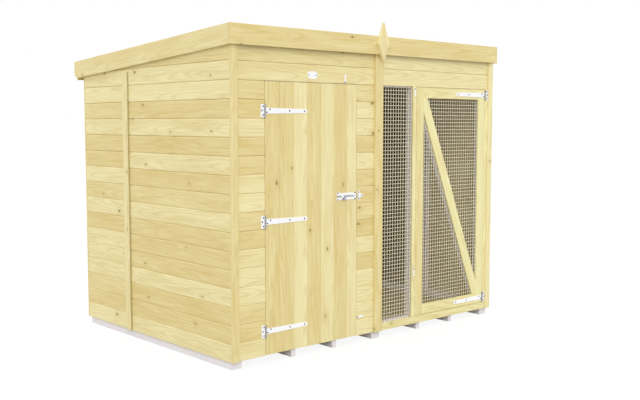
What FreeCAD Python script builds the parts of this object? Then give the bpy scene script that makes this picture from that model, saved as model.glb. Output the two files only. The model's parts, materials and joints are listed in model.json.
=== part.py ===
import FreeCAD, Part
import Sketcher
import os
import re

# Dog kennel with a mesh run beside it, under one pent roof, in millimetres.
# Places are measured from the left wall's outer face (x), the front boards' face (y)
# and the top of the bearers (z); the document origin lies under the middle of the whole.

SIZES = (
    # Whole building
    ("body_width", 2440),
    ("body_depth", 1748),
    ("front_height", 1963),
    ("roof_pitch", 3.9),
    # Base and framing timber
    ("bearer_height", 48),
    ("bearer_wide", 74),
    ("bearer_narrow", 34),
    ("kennel_bearer_outer", 488),
    ("kennel_bearer_inner", 837),
    ("run_bearer_inner", 1649),
    ("run_bearer_outer", 2005),
    ("frame_size", 45),
    ("floor_thickness", 15),
    ("floor_board_count", 15),
    ("plank_gap", 1),
    ("cut_past", 1),
    # Shiplap boards
    ("board_thickness", 12),
    ("board_cover", 111),
    ("board_lap", 9),
    ("board_lip", 6),
    ("board_cove", 9),
    ("board_play", 0.4),
    # Cover strips
    ("strip_thickness", 16),
    ("corner_strip_width", 48),
    ("joint_strip_width", 72),
    ("side_joint", 1169),
    ("side_strip_width", 66),
    ("side_strip_thickness", 12),
    ("strip_top_gap", 26),
    # Roof edge
    ("fascia_thickness", 20),
    ("fascia_height", 120),
    ("fascia_rise", 18),
    ("fascia_round", 45),
    ("back_overhang", 118),
    ("rear_drop", 10),
    ("roof_board_thickness", 12),
    ("roof_board_count", 16),
    ("felt_thickness", 2),
    ("finial_rise", 137),
    ("finial_fall", 118),
    ("finial_width", 100),
    ("finial_thickness", 20),
    ("finial_drop", 49),
    # Partition
    ("pop_hole_width", 400),
    ("pop_hole_courses", 5),
    # Kennel door
    ("kennel_lock_width", 195),
    ("kennel_door_width", 762),
    ("head_courses", 15),
    ("door_gap", 3),
    ("stop_play", 0.5),
    ("kennel_stop_lap", 15),
    ("door_board_cover", 113),
    ("door_board_groove", 2.5),
    ("door_tongue", 5),
    ("tongue_play", 0.5),
    ("ledge_width", 70),
    ("ledge_thickness", 22),
    ("ledge_play", 3),
    # Run front
    ("jamb_width", 33),
    ("post_width", 33),
    ("run_door_width", 757),
    ("run_stop_lap", 10),
    ("face_thickness", 12),
    ("face_width", 75),
    ("sill_height", 50),
    ("lintel_lap", 9),
    ("inner_depth", 28),
    ("mesh_wire", 3),
    ("mesh_pitch", 25.4),
    ("mesh_margin", 12),
    # T-hinges
    ("strap_length", 335),
    ("strap_root", 37),
    ("strap_tip", 24),
    ("strap_thickness", 3),
    ("hinge_plate_width", 28),
    ("hinge_plate_height", 78),
    ("knuckle_radius", 4.5),
    ("knuckle_stand", 5),
    ("knuckle_play", 0.5),
    ("pin_radius", 2.2),
    ("pin_play", 0.05),
    ("kennel_hinge_low", 150),
    ("kennel_hinge_middle", 819),
    ("kennel_hinge_top", 1486),
    ("run_hinge_low", 92),
    ("run_hinge_inset", 40),
    # Pad bolt
    ("bolt_height", 940),
    ("bolt_radius", 5),
    ("bolt_length", 165),
    ("bolt_stand", 9),
    ("bolt_play", 0.3),
    ("bolt_plate_length", 172),
    ("bolt_plate_height", 44),
    ("bolt_plate_thickness", 2.5),
    ("bolt_setback", 8),
    ("guide_length", 14),
    ("guide_wall", 3),
    ("guide_inset", 12),
    ("lobe_radius", 12),
    ("lobe_spread", 16),
    ("handle_width", 20),
    ("handle_drop", 26),
    ("handle_thickness", 4),
    ("keep_gap", 5),
    ("keep_radius", 11),
    ("keep_spread", 20),
    ("keep_reach", 30),
    # Turn buttons
    ("button_far", 51),
    ("button_near", 7),
    ("button_width", 13),
    ("button_thickness", 5),
    ("button_play", 0.3),
    ("button_screw", 2.4),
    ("button_screw_play", 0.1),
    ("button_head", 4.5),
    ("button_head_height", 2.2),
    ("button_edge", 9),
    ("kennel_button_side", 107),
    ("kennel_button_low", 128),
    ("run_button_low", 390),
    ("run_button_drop", 18),
)

doc = FreeCAD.newDocument("kennel_and_run")
sheet = doc.addObject("Spreadsheet::Sheet", "sizes")
for line, (alias, number) in enumerate(SIZES, 1):
    sheet.set("A%d" % line, alias)
    sheet.set("B%d" % line, str(number))
    sheet.setAlias("B%d" % line, alias)
doc.recompute()
ALIASES = {alias for alias, number in SIZES}


def cells(text):
    """Point every alias in an expression at the sheet."""
    return re.sub(r"[a-z_]+", lambda m: "sizes." + m[0] if m[0] in ALIASES else m[0], str(text))


def amount(text):
    """Present value of an expression."""
    return float(sheet.evalExpression(cells(text)))


def bind(thing, prop, text):
    """Tie a property to the sheet."""
    thing.setExpression(prop, cells(text))


# Named planes and edges
MID = "(body_width / 2)"
MIDDLE_DEPTH = "((body_depth + back_overhang - strip_thickness - fascia_thickness - finial_thickness) / 2)"
ORIGIN = {"x": MID, "y": MIDDLE_DEPTH, "z": "(-bearer_height)"}
RIGHT_IN = "(body_width - board_thickness)"
BACK_IN = "(body_depth - board_thickness)"
FRAME_IN = "(board_thickness + frame_size)"
RIGHT_FRAME_IN = "(body_width - board_thickness - frame_size)"
BACK_FRAME_IN = "(body_depth - board_thickness - frame_size)"
PLATE_TOP = "(floor_thickness + frame_size)"
ROOF_BACK = "(body_depth + back_overhang)"
DECK_END = "(body_depth + back_overhang - fascia_thickness)"
HEAD = "(head_courses * board_cover)"

KENNEL_OPEN_RIGHT = "(body_width / 2 - kennel_lock_width)"
KENNEL_DOOR_RIGHT = "(%s - door_gap)" % KENNEL_OPEN_RIGHT
KENNEL_DOOR_LEFT = "(%s - kennel_door_width)" % KENNEL_DOOR_RIGHT
KENNEL_OPEN_LEFT = "(%s - door_gap)" % KENNEL_DOOR_LEFT
KENNEL_STUD_LEFT = "(%s + kennel_stop_lap)" % KENNEL_DOOR_LEFT
KENNEL_STUD_RIGHT = "(%s - kennel_stop_lap)" % KENNEL_DOOR_RIGHT
KENNEL_LINTEL = "(head_courses * board_cover - kennel_stop_lap)"

CORNER_RIGHT = "(body_width - corner_strip_width)"
JAMB_LEFT = "(body_width - corner_strip_width - jamb_width)"
RUN_DOOR_RIGHT = "(body_width - corner_strip_width - jamb_width - door_gap)"
RUN_DOOR_LEFT = "(%s - run_door_width)" % RUN_DOOR_RIGHT
POST_RIGHT = "(%s - door_gap)" % RUN_DOOR_LEFT
POST_LEFT = "(%s - post_width)" % POST_RIGHT
CENTRE_STRIP_RIGHT = "(body_width / 2 + joint_strip_width / 2)"
POST_STUD_RIGHT = "(%s + run_stop_lap)" % RUN_DOOR_LEFT
JAMB_STUD_LEFT = "(%s - run_stop_lap)" % RUN_DOOR_RIGHT
RUN_LINTEL = "(head_courses * board_cover - lintel_lap)"
MESH_FRONT = "(board_thickness - 2 * mesh_wire)"
MESH_LAYER = "(board_thickness - mesh_wire)"
FACE_FRONT = "(board_thickness - 2 * mesh_wire - face_thickness)"
RUN_DOOR_LOW = "(sill_height + door_gap)"
RUN_DOOR_TOP = "(head_courses * board_cover - door_gap)"
INNER_LEFT = "(%s + door_gap)" % POST_STUD_RIGHT
INNER_RIGHT = "(%s - door_gap)" % JAMB_STUD_LEFT
INNER_LOW = "(floor_thickness + frame_size + door_gap)"
INNER_TOP = "(%s - door_gap)" % RUN_LINTEL
INNER_BACK = "(board_thickness + inner_depth)"


def deck_under(y, drop="0"):
    """Height of the roof boards' underside at a depth, or of a plane square below it."""
    return "(front_height - tan(roof_pitch) * (%s) - (%s) / cos(roof_pitch))" % (y, drop)


def seat(thing, x, y, z):
    """Put a piece at a place in the building."""
    for axis, text in (("x", x), ("y", y), ("z", z)):
        bind(thing, "Placement.Base." + axis, "(%s) - %s" % (text, ORIGIN[axis]))


def bar(name, x, y, z):
    """Square-cut timber or plate between two corners; each argument is a low and a high."""
    box = doc.addObject("Part::Box", name)
    for side, (low, high) in (("Length", x), ("Width", y), ("Height", z)):
        bind(box, side, "(%s) - (%s)" % (high, low))
    seat(box, x[0], y[0], z[0])
    return box


def rod(name, radius, length, x, y, z, axis="z"):
    """Round bar that starts at a place and runs up, to the right or to the back."""
    turn = {"z": FreeCAD.Rotation(FreeCAD.Vector(0, 0, 1), -90),
            "x": FreeCAD.Rotation(FreeCAD.Vector(0, 1, 0), 90),
            "y": FreeCAD.Rotation(FreeCAD.Vector(1, 0, 0), -90)}[axis]
    cylinder = doc.addObject("Part::Cylinder", name)
    cylinder.Placement = FreeCAD.Placement(FreeCAD.Vector(), turn)
    bind(cylinder, "Radius", radius)
    bind(cylinder, "Height", length)
    seat(cylinder, x, y, z)
    return cylinder


def new_body(name, x, y, z, turn=0):
    """Body placed in the building, turned about the upright."""
    owner = doc.addObject("PartDesign::Body", name)
    owner.AllowCompound = True
    owner.Placement = FreeCAD.Placement(FreeCAD.Vector(), FreeCAD.Rotation(FreeCAD.Vector(0, 0, 1), turn))
    seat(owner, x, y, z)
    return owner


def roof_body(name, x):
    """Body that lies in the slope of the roof: y runs down the slope, z stands square to it."""
    owner = doc.addObject("PartDesign::Body", name)
    owner.AllowCompound = True
    owner.Placement = FreeCAD.Placement(FreeCAD.Vector(), FreeCAD.Rotation(FreeCAD.Vector(-1, 0, 0), 1))
    bind(owner, "Placement.Rotation.Angle", "roof_pitch")
    seat(owner, x, "-strip_thickness", deck_under("-strip_thickness"))
    return owner


def down_slope(y):
    """Distance down the slope from the front fascia's back to a depth."""
    return "(((%s) + strip_thickness) / cos(roof_pitch))" % y


def outline(owner, plane, points):
    """Closed outline in a body's origin plane, every corner tied to the sheet."""
    sketch = owner.newObject("Sketcher::SketchObject", owner.Name + "_outline")
    face = [f for f in owner.Origin.OriginFeatures if f.Role == plane + "_Plane"][0]
    sketch.AttachmentSupport = [(face, "")]
    sketch.MapMode = "FlatFace"
    spots = [FreeCAD.Vector(amount(u), amount(v), 0) for u, v in points]
    lines = [Part.LineSegment(spots[i - 1], spots[i]) for i in range(len(spots))]
    sketch.addGeometry(lines, False)
    rules = [Sketcher.Constraint("Coincident", i - 1, 2, i, 1) for i in range(1, len(spots))]
    rules.append(Sketcher.Constraint("Coincident", len(spots) - 1, 2, 0, 1))
    ties = []
    for i, (u, v) in enumerate(points):
        ties.append((len(rules), u))
        rules.append(Sketcher.Constraint("DistanceX", -1, 1, i, 2, spots[i].x))
        ties.append((len(rules), v))
        rules.append(Sketcher.Constraint("DistanceY", -1, 1, i, 2, spots[i].y))
    sketch.addConstraint(rules)
    for place, text in ties:
        bind(sketch, "Constraints[%d]" % place, text)
    return sketch


def rectangle(owner, plane, u, v):
    """Rectangular outline between two corners."""
    return outline(owner, plane, [(u[0], v[0]), (u[1], v[0]), (u[1], v[1]), (u[0], v[1])])


def pad(owner, sketch, length, back=False):
    """Give an outline its length."""
    feature = owner.newObject("PartDesign::Pad", owner.Name + "_pad")
    feature.Profile = sketch
    feature.Reversed = back
    bind(feature, "Length", length)
    doc.recompute()
    return feature


def repeat(owner, feature, axis, spacing, count):
    """Row of copies along one axis of the feature's outline."""
    pattern = owner.newObject("PartDesign::LinearPattern", owner.Name + "_row")
    pattern.Originals = [feature]
    pattern.Direction = (feature.Profile[0], [axis])
    pattern.Mode = "Spacing"
    bind(pattern, "Offset", spacing)
    bind(pattern, "Occurrences", count)
    owner.Tip = pattern
    doc.recompute()
    return pattern


def trim(owner, sketch):
    """Cut an outline right through a body."""
    pocket = owner.newObject("PartDesign::Pocket", owner.Name + "_trim")
    pocket.Profile = sketch
    pocket.SideType = "Symmetric"
    pocket.Type = "ThroughAll"
    owner.Tip = pocket
    doc.recompute()
    return pocket


def round_corners(owner, radius, chosen):
    """Round the edges of a body that a test picks out."""
    base = owner.Tip
    names = ["Edge%d" % i for i, edge in enumerate(base.Shape.Edges, 1) if chosen(edge)]
    fillet = owner.newObject("PartDesign::Fillet", owner.Name + "_round")
    fillet.Base = (base, names)
    bind(fillet, "Radius", radius)
    owner.Tip = fillet
    doc.recompute()
    return fillet


def fuse(name, pieces):
    """One solid from several overlapping ones."""
    whole = doc.addObject("Part::MultiFuse", name)
    whole.Shapes = pieces
    whole.Refine = True
    return whole


def bore(name, whole, tool):
    """Piece with a hole through it."""
    cut = doc.addObject("Part::Cut", name)
    cut.Base = whole
    cut.Tool = tool
    return cut


nodes = []


def node(name, *pieces):
    """Name a finished sub-part; several pieces of one kind go together."""
    if len(pieces) == 1:
        thing = pieces[0]
    else:
        thing = doc.addObject("Part::Compound", name + "_set")
        thing.Links = list(pieces)
    thing.Label = name
    nodes.append(thing)
    return thing


# Base: bearers from front to back and two boarded floors
bearer_y = ("board_thickness", BACK_IN)
bearer_z = ("-bearer_height", "0")
wide = []
for label, x in (("left", ("board_thickness", "board_thickness + bearer_wide")),
                 ("centre", (MID + " - bearer_wide / 2", MID + " + bearer_wide / 2")),
                 ("right", (RIGHT_IN + " - bearer_wide", RIGHT_IN))):
    wide.append(bar("bearer_" + label, x, bearer_y, bearer_z))
node("bearers_wide", *wide)
narrow = []
for place in ("kennel_bearer_outer", "kennel_bearer_inner", "run_bearer_inner", "run_bearer_outer"):
    x = (place + " - bearer_narrow / 2", place + " + bearer_narrow / 2")
    narrow.append(bar("narrow_" + place, x, bearer_y, bearer_z))
node("bearers_narrow", *narrow)

FLOOR_BOARD = "((body_depth - 2 * board_thickness) / floor_board_count)"
for name, left, right in (("kennel_floor", "board_thickness", MID), ("run_floor", MID, RIGHT_IN)):
    floor = new_body(name, left, "board_thickness", "0")
    section = rectangle(floor, "YZ", ("0", FLOOR_BOARD + " - plank_gap"), ("0", "floor_thickness"))
    plank = pad(floor, section, "(%s) - (%s)" % (right, left))
    repeat(floor, plank, "H_Axis", FLOOR_BOARD, "floor_board_count")
    node(name, floor)


# Wall frames, square timber standing on the floor
def studs(prefix, spans, y, low, high):
    """Upright timbers of one wall that stand side by side along x."""
    return [bar("%s_stud_%d" % (prefix, i), span, y, (low, high)) for i, span in enumerate(spans)]


def right_of(x):
    return (x, "(%s) + frame_size" % x)


def left_of(x):
    return ("(%s) - frame_size" % x, x)


def centred(x):
    return ("(%s) - frame_size / 2" % x, "(%s) + frame_size / 2" % x)


RAFTER_UNDER_FRONT = deck_under(FRAME_IN, "frame_size")
RAFTER_UNDER_BACK = deck_under(BACK_IN, "frame_size")
front_y = ("board_thickness", FRAME_IN)
back_y = (BACK_FRAME_IN, BACK_IN)
sole_z = ("floor_thickness", PLATE_TOP)
front_plate_z = (RAFTER_UNDER_FRONT + " - frame_size", RAFTER_UNDER_FRONT)
back_plate_z = (RAFTER_UNDER_BACK + " - frame_size", RAFTER_UNDER_BACK)
kennel_x = ("board_thickness", MID)
run_x = (MID, RIGHT_IN)

kennel_front = [bar("kennel_front_sole", kennel_x, front_y, sole_z),
                bar("kennel_front_plate", kennel_x, front_y, front_plate_z),
                bar("kennel_front_lintel", (KENNEL_STUD_LEFT, KENNEL_STUD_RIGHT), front_y,
                    (KENNEL_LINTEL, KENNEL_LINTEL + " + frame_size"))]
kennel_front += studs("kennel_front", [right_of("board_thickness"), left_of(KENNEL_STUD_LEFT),
                                       right_of(KENNEL_STUD_RIGHT), left_of(MID)],
                      front_y, PLATE_TOP, front_plate_z[0])
node("kennel_front_frame", *kennel_front)

run_front = [bar("run_front_sole", run_x, front_y, sole_z),
             bar("run_front_plate", run_x, front_y, front_plate_z),
             bar("run_front_lintel", (MID + " + frame_size", JAMB_STUD_LEFT), front_y,
                 (RUN_LINTEL, RUN_LINTEL + " + frame_size"))]
run_front += studs("run_front", [right_of(MID), (JAMB_STUD_LEFT, RIGHT_FRAME_IN), left_of(RIGHT_IN)],
                   front_y, PLATE_TOP, front_plate_z[0])
run_front += studs("run_post", [left_of(POST_STUD_RIGHT)], front_y, PLATE_TOP, RUN_LINTEL)
node("run_front_frame", *run_front)

back_frame = []
for label, span in (("kennel", kennel_x), ("run", run_x)):
    back_frame.append(bar("back_sole_" + label, span, back_y, sole_z))
    back_frame.append(bar("back_plate_" + label, span, back_y, back_plate_z))
    middle = "((%s) + (%s)) / 2" % span
    back_frame += studs("back_" + label, [right_of(span[0]), centred(middle), left_of(span[1])],
                        back_y, PLATE_TOP, back_plate_z[0])
node("back_wall_frame", *back_frame)


def sloped_rail(name, x, front, back, level):
    """Timber under the slope between two depths; level counts timbers down from the roof boards."""
    rail = roof_body(name, x)
    section = rectangle(rail, "XZ", ("0", "frame_size"),
                        ("-frame_size * %d" % (level + 1), "-frame_size * %d" % level))
    bind(section, "AttachmentOffset.Base.z", "-%s" % down_slope(front))
    pad(rail, section, "%s - %s" % (down_slope(back), down_slope(front)), back=True)
    return rail


RAIL_FRONT = "(%s + 2 * frame_size * sin(roof_pitch))" % FRAME_IN


def side_studs(prefix, x, spans):
    """Upright timbers of a side wall with square-cut tops under the sloping rail."""
    pieces = []
    for i, span in enumerate(spans):
        top = deck_under(span[1], "2 * frame_size")
        pieces.append(bar("%s_stud_%d" % (prefix, i), x, span, (PLATE_TOP, top)))
    return pieces


for label, x in (("left", ("board_thickness", FRAME_IN)), ("right", (RIGHT_FRAME_IN, RIGHT_IN))):
    pieces = []
    for part, front, back in (("front", FRAME_IN, "side_joint"), ("back", "side_joint", BACK_FRAME_IN)):
        prefix = "%s_%s" % (label, part)
        pieces.append(bar(prefix + "_sole", x, (front, back), sole_z))
        rail_front = RAIL_FRONT if part == "front" else "side_joint"
        pieces.append(sloped_rail(prefix + "_rail", x[0], rail_front, back, 1))
        spans = [right_of(front), left_of(back)]
        if part == "front":
            spans.append(centred("(%s + side_joint) / 2" % FRAME_IN))
        pieces += side_studs(prefix, x, spans)
    node(label + "_wall_frame", *pieces)

# Partition between kennel and run, with a low way through
HOLE_FRONT = "((body_depth - pop_hole_width) / 2)"
HOLE_BACK = "((body_depth + pop_hole_width) / 2)"
HOLE_TOP = "(floor_thickness + pop_hole_courses * board_cover)"
part_x = centred(MID)
pieces = [bar("partition_sole", part_x, (FRAME_IN, BACK_FRAME_IN), sole_z),
          bar("partition_lintel", part_x, (HOLE_FRONT, HOLE_BACK), (HOLE_TOP, HOLE_TOP + " + frame_size")),
          sloped_rail("partition_rail", part_x[0], RAIL_FRONT, BACK_FRAME_IN, 1)]
pieces += side_studs("partition", part_x, [right_of(FRAME_IN), left_of(HOLE_FRONT), right_of(HOLE_BACK),
                                           left_of(BACK_FRAME_IN)])
node("partition_frame", *pieces)

# Shiplap: a lip at the foot of each board covers the tongue of the board below
BOARD_SECTION = [("0", "0"), ("board_lip", "0"), ("board_lip", "board_lap"),
                 ("board_thickness", "board_lap"),
                 ("board_thickness", "board_cover + board_lap - board_play"),
                 ("board_lip + board_play", "board_cover + board_lap - board_play"),
                 ("board_lip + board_play", "board_cover - board_play"),
                 ("0", "board_cover - board_cove")]


def boarding(name, x, y, z, length, turn=0, courses=None, left_top=None, right_top=None):
    """Shiplap on one stretch of wall; seen from outside it runs to the right from its place."""
    wall = new_body(name, x, y, z, turn)
    board = pad(wall, outline(wall, "YZ", BOARD_SECTION), length)
    if courses is None:
        top = left_top if amount(left_top) > amount(right_top) else right_top
        courses = "ceil((%s) / board_cover)" % top
    repeat(wall, board, "V_Axis", "board_cover", courses)
    if left_top is not None:
        far = "front_height + 2 * board_cover"
        trim(wall, outline(wall, "XZ", [("0", left_top), (length, right_top), (length, far), ("0", far)]))
    return wall


front_top = deck_under("board_thickness")
node("kennel_left_boards", boarding("kennel_left_boards", "board_thickness", "0", "0",
                                    "%s - board_thickness" % KENNEL_OPEN_LEFT, courses="head_courses"))
node("kennel_right_boards", boarding("kennel_right_boards", KENNEL_OPEN_RIGHT, "0", "0",
                                     "%s - %s" % (MID, KENNEL_OPEN_RIGHT), courses="head_courses"))
header_top = "%s - %s" % (front_top, HEAD)
for name, span in (("kennel_header_boards", kennel_x), ("run_header_boards", run_x)):
    node(name, boarding(name, span[0], "0", HEAD, "(%s) - (%s)" % (span[1], span[0]),
                        left_top=header_top, right_top=header_top))

front_side = deck_under("0", "board_play")
joint_side = deck_under("side_joint", "board_play")
back_side = deck_under("body_depth", "board_play")
back_panel = "body_depth - side_joint"
node("left_front_boards", boarding("left_front_boards", "0", "side_joint", "0", "side_joint", -90,
                                   left_top=joint_side, right_top=front_side))
node("left_back_boards", boarding("left_back_boards", "0", "body_depth", "0", back_panel, -90,
                                  left_top=back_side, right_top=joint_side))
node("right_front_boards", boarding("right_front_boards", "body_width", "0", "0", "side_joint", 90,
                                    left_top=front_side, right_top=joint_side))
node("right_back_boards", boarding("right_back_boards", "body_width", "side_joint", "0", back_panel, 90,
                                   left_top=joint_side, right_top=back_side))
back_top = deck_under("body_depth", "frame_size")
for name, span in (("back_run_boards", run_x), ("back_kennel_boards", kennel_x)):
    node(name, boarding(name, span[1], "body_depth", "0", "(%s) - (%s)" % (span[1], span[0]), 180,
                        left_top=back_top, right_top=back_top))

part_face = part_x[1] + " + board_thickness"
upper_top_front = "%s - %s" % (deck_under(FRAME_IN, "frame_size"), HOLE_TOP)
upper_top_back = "%s - %s" % (deck_under(BACK_FRAME_IN, "frame_size"), HOLE_TOP)
node("partition_boards",
     boarding("partition_front_boards", part_face, FRAME_IN, "floor_thickness",
              "%s - %s" % (HOLE_FRONT, FRAME_IN), 90, courses="pop_hole_courses"),
     boarding("partition_back_boards", part_face, HOLE_BACK, "floor_thickness",
              "%s - %s" % (BACK_FRAME_IN, HOLE_BACK), 90, courses="pop_hole_courses"),
     boarding("partition_upper_boards", part_face, FRAME_IN, HOLE_TOP,
              "%s - %s" % (BACK_FRAME_IN, FRAME_IN), 90,
              left_top=upper_top_front, right_top=upper_top_back))

# Cover strips at the corners and over the panel joints
strip_y = ("-strip_thickness", "0")
back_strip_y = ("body_depth", "body_depth + strip_thickness")
strip_z = ("0", deck_under("0"))
back_strip_z = ("0", deck_under("body_depth + strip_thickness", "frame_size"))
corners = []
for label, x in (("left", ("0", "corner_strip_width")), ("right", (CORNER_RIGHT, "body_width"))):
    corners.append(bar("corner_front_" + label, x, strip_y, strip_z))
    corners.append(bar("corner_back_" + label, x, back_strip_y, back_strip_z))
node("corner_strips", *corners)
joint_half = "joint_strip_width / 2"
joint_x = (MID + " - " + joint_half, MID + " + " + joint_half)
node("centre_strip", bar("centre_strip", joint_x, strip_y, strip_z))
side_half = "side_strip_width / 2"
fascia_low_at_joint = "%s + fascia_rise - fascia_height" % deck_under("side_joint + " + side_half)
joint_y = ("side_joint - " + side_half, "side_joint + " + side_half)
joint_z = ("0", fascia_low_at_joint + " - strip_top_gap")
node("joint_strips", bar("joint_left", ("-side_strip_thickness", "0"), joint_y, joint_z),
     bar("joint_right", ("body_width", "body_width + side_strip_thickness"), joint_y, joint_z),
     bar("joint_back", joint_x, back_strip_y, back_strip_z))

# Roof: rafters, boards, felt, fascias and finial
RAFTER_FRONT = "(board_thickness + frame_size * sin(roof_pitch))"
rafters = []
for i, x in enumerate(("board_thickness", "(board_thickness + %s - frame_size) / 2" % MID,
                       MID + " - frame_size / 2", "(%s + %s - frame_size) / 2" % (MID, RIGHT_IN),
                       RIGHT_FRAME_IN)):
    rafters.append(sloped_rail("rafter_%d" % i, x, RAFTER_FRONT, DECK_END, 0))
node("rafters", *rafters)

deck = roof_body("roof_boards", "0")
DECK_RUN = "(%s - roof_board_thickness * tan(roof_pitch))" % down_slope(DECK_END)
ROOF_BOARD = "(%s / roof_board_count)" % DECK_RUN
section = rectangle(deck, "YZ", ("0", ROOF_BOARD + " - plank_gap"), ("0", "roof_board_thickness"))
repeat(deck, pad(deck, section, "body_width"), "H_Axis", ROOF_BOARD, "roof_board_count")
node("roof_boards", deck)

felt = roof_body("roof_felt", "0")
FELT_TOP = "roof_board_thickness + felt_thickness"
FELT_RUN = "%s - (%s) * tan(roof_pitch)" % (down_slope(ROOF_BACK), FELT_TOP)
pad(felt, rectangle(felt, "YZ", ("0", FELT_RUN), ("roof_board_thickness", FELT_TOP)), "body_width")
node("roof_felt", felt)

FASCIA_BACK = "-strip_thickness"
FASCIA_FRONT = "(-strip_thickness - fascia_thickness)"
FASCIA_TOP = "(%s + fascia_rise)" % deck_under(FASCIA_FRONT)
node("front_fascia", bar("front_fascia", ("-fascia_thickness", "body_width + fascia_thickness"),
                         (FASCIA_FRONT, FASCIA_BACK), (FASCIA_TOP + " - fascia_height", FASCIA_TOP)))
for name, x in (("left_fascia", "-fascia_thickness"), ("right_fascia", "body_width")):
    fascia = new_body(name, x, "0", "0")
    top_front = deck_under(FASCIA_BACK) + " + fascia_rise"
    top_back = deck_under(ROOF_BACK) + " + fascia_rise"
    shape = outline(fascia, "YZ", [(FASCIA_BACK, top_front + " - fascia_height"),
                                   (ROOF_BACK, top_back + " - fascia_height"),
                                   (ROOF_BACK, top_back), (FASCIA_BACK, top_front)])
    pad(fascia, shape, "fascia_thickness")
    round_corners(fascia, "fascia_round",
                  lambda edge: edge.BoundBox.YMin > amount(ROOF_BACK) - 1 and edge.BoundBox.XLength > 1
                  and edge.BoundBox.ZMax < amount(top_back) - amount("fascia_height") / 2)
    node(name, fascia)
node("rear_fascia", bar("rear_fascia", ("0", "body_width"), (DECK_END, ROOF_BACK),
                        (deck_under(ROOF_BACK) + " + fascia_rise - fascia_height - rear_drop",
                         deck_under(ROOF_BACK) + " + roof_board_thickness")))

finial = new_body("finial", MID, FASCIA_FRONT, FASCIA_TOP + " - finial_drop")
pad(finial, outline(finial, "XZ", [("0", "-finial_fall"), ("finial_width / 2", "0"),
                                   ("0", "finial_rise"), ("-finial_width / 2", "0")]),
    "finial_thickness")
node("finial", finial)

# Run front: face boards hold the edge of the mesh against the frame
face_y = (FACE_FRONT, MESH_FRONT)
face_z = ("sill_height", HEAD)
sill_x = (CENTRE_STRIP_RIGHT, CORNER_RIGHT)
node("run_sill_board", bar("run_sill_board", sill_x, face_y, ("0", "sill_height")))
node("run_post_board", bar("run_post_board", (POST_LEFT, POST_RIGHT), face_y, face_z))
node("run_jamb_board", bar("run_jamb_board", (JAMB_LEFT, CORNER_RIGHT), face_y, face_z))


def mesh(name, x, z):
    """Welded mesh between two edges: upright wires in front, level wires against their backs."""
    wide_run = "((%s) - (%s))" % (x[1], x[0])
    tall_run = "((%s) - (%s))" % (z[1], z[0])
    uprights = "(floor((%s - mesh_wire) / mesh_pitch) + 1)" % wide_run
    levels = "(floor((%s - mesh_wire) / mesh_pitch) + 1)" % tall_run
    width = "((%s - 1) * mesh_pitch + mesh_wire)" % uprights
    height = "((%s - 1) * mesh_pitch + mesh_wire)" % levels
    left = "((%s + %s - %s) / 2)" % (x[0], x[1], width)
    low = "((%s + %s - %s) / 2)" % (z[0], z[1], height)
    first = ("0", "mesh_wire")
    upright_wires = new_body(name + "_upright", left, MESH_FRONT, low)
    wire = pad(upright_wires, rectangle(upright_wires, "XY", first, first), height)
    repeat(upright_wires, wire, "H_Axis", "mesh_pitch", uprights)
    level_wires = new_body(name + "_level", left, MESH_LAYER, low)
    wire = pad(level_wires, rectangle(level_wires, "YZ", first, first), width)
    repeat(level_wires, wire, "V_Axis", "mesh_pitch", levels)
    node(name, upright_wires, level_wires)


mesh("fixed_panel_mesh", (MID + " + mesh_margin / 4", POST_RIGHT + " - mesh_margin"),
     ("floor_thickness + mesh_margin", HEAD + " - board_play"))

# Run door: face frame and brace in front, mesh, inner frame behind
door_x = (RUN_DOOR_LEFT, RUN_DOOR_RIGHT)
door_z = (RUN_DOOR_LOW, RUN_DOOR_TOP)
rail_x = (RUN_DOOR_LEFT + " + face_width", RUN_DOOR_RIGHT + " - face_width")
rail_z = (RUN_DOOR_LOW + " + face_width", RUN_DOOR_TOP + " - face_width")


def door_frame(prefix, x, y, z, width):
    """Two stiles with two rails between them."""
    within = ("(%s) + %s" % (x[0], width), "(%s) - %s" % (x[1], width))
    return [bar(prefix + "_stile_left", (x[0], within[0]), y, z),
            bar(prefix + "_stile_right", (within[1], x[1]), y, z),
            bar(prefix + "_rail_low", within, y, (z[0], "(%s) + %s" % (z[0], width))),
            bar(prefix + "_rail_top", within, y, ("(%s) - %s" % (z[1], width), z[1]))]


def brace(name, x, y, z, width, rising=False):
    """Diagonal that fills two opposite corners of an opening; it falls or rises to the right."""
    wide_run = "((%s) - (%s))" % (x[1], x[0])
    tall_run = "((%s) - (%s))" % (z[1], z[0])
    lean = "atan(%s / %s)" % (wide_run, tall_run)
    across = "(%s / 2 / cos(%s))" % (width, lean)
    along = "(%s / 2 / sin(%s))" % (width, lean)
    piece = new_body(name, x[0], y[1], z[0])
    corner = [("0", tall_run), ("0", "%s - %s" % (tall_run, along)), ("%s - %s" % (wide_run, across), "0"),
              (wide_run, "0"), (wide_run, along), (across, tall_run)]
    if rising:
        corner = [("%s - (%s)" % (wide_run, u), v) for u, v in reversed(corner)]
    pad(piece, outline(piece, "XZ", corner), "(%s) - (%s)" % (y[1], y[0]))
    return piece


node("run_door_face_frame", *door_frame("run_face", door_x, face_y, door_z, "face_width"))
node("run_door_brace", brace("run_face_brace", rail_x, face_y, rail_z, "face_width"))
inner_x = (INNER_LEFT, INNER_RIGHT)
inner_y = ("board_thickness", INNER_BACK)
inner_z = (INNER_LOW, INNER_TOP)
inner = door_frame("run_inner", inner_x, inner_y, inner_z, "frame_size")
inner.append(brace("run_inner_brace", ("(%s) + frame_size" % INNER_LEFT, "(%s) - frame_size" % INNER_RIGHT),
                   inner_y, (INNER_LOW + " + frame_size", INNER_TOP + " - frame_size"), "face_width"))
node("run_door_inner_frame", *inner)
mesh("run_door_mesh", (INNER_LEFT + " + mesh_margin / 2", INNER_RIGHT + " - mesh_margin / 2"),
     (INNER_LOW + " + mesh_margin / 2", INNER_TOP + " - mesh_margin / 2"))

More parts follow.
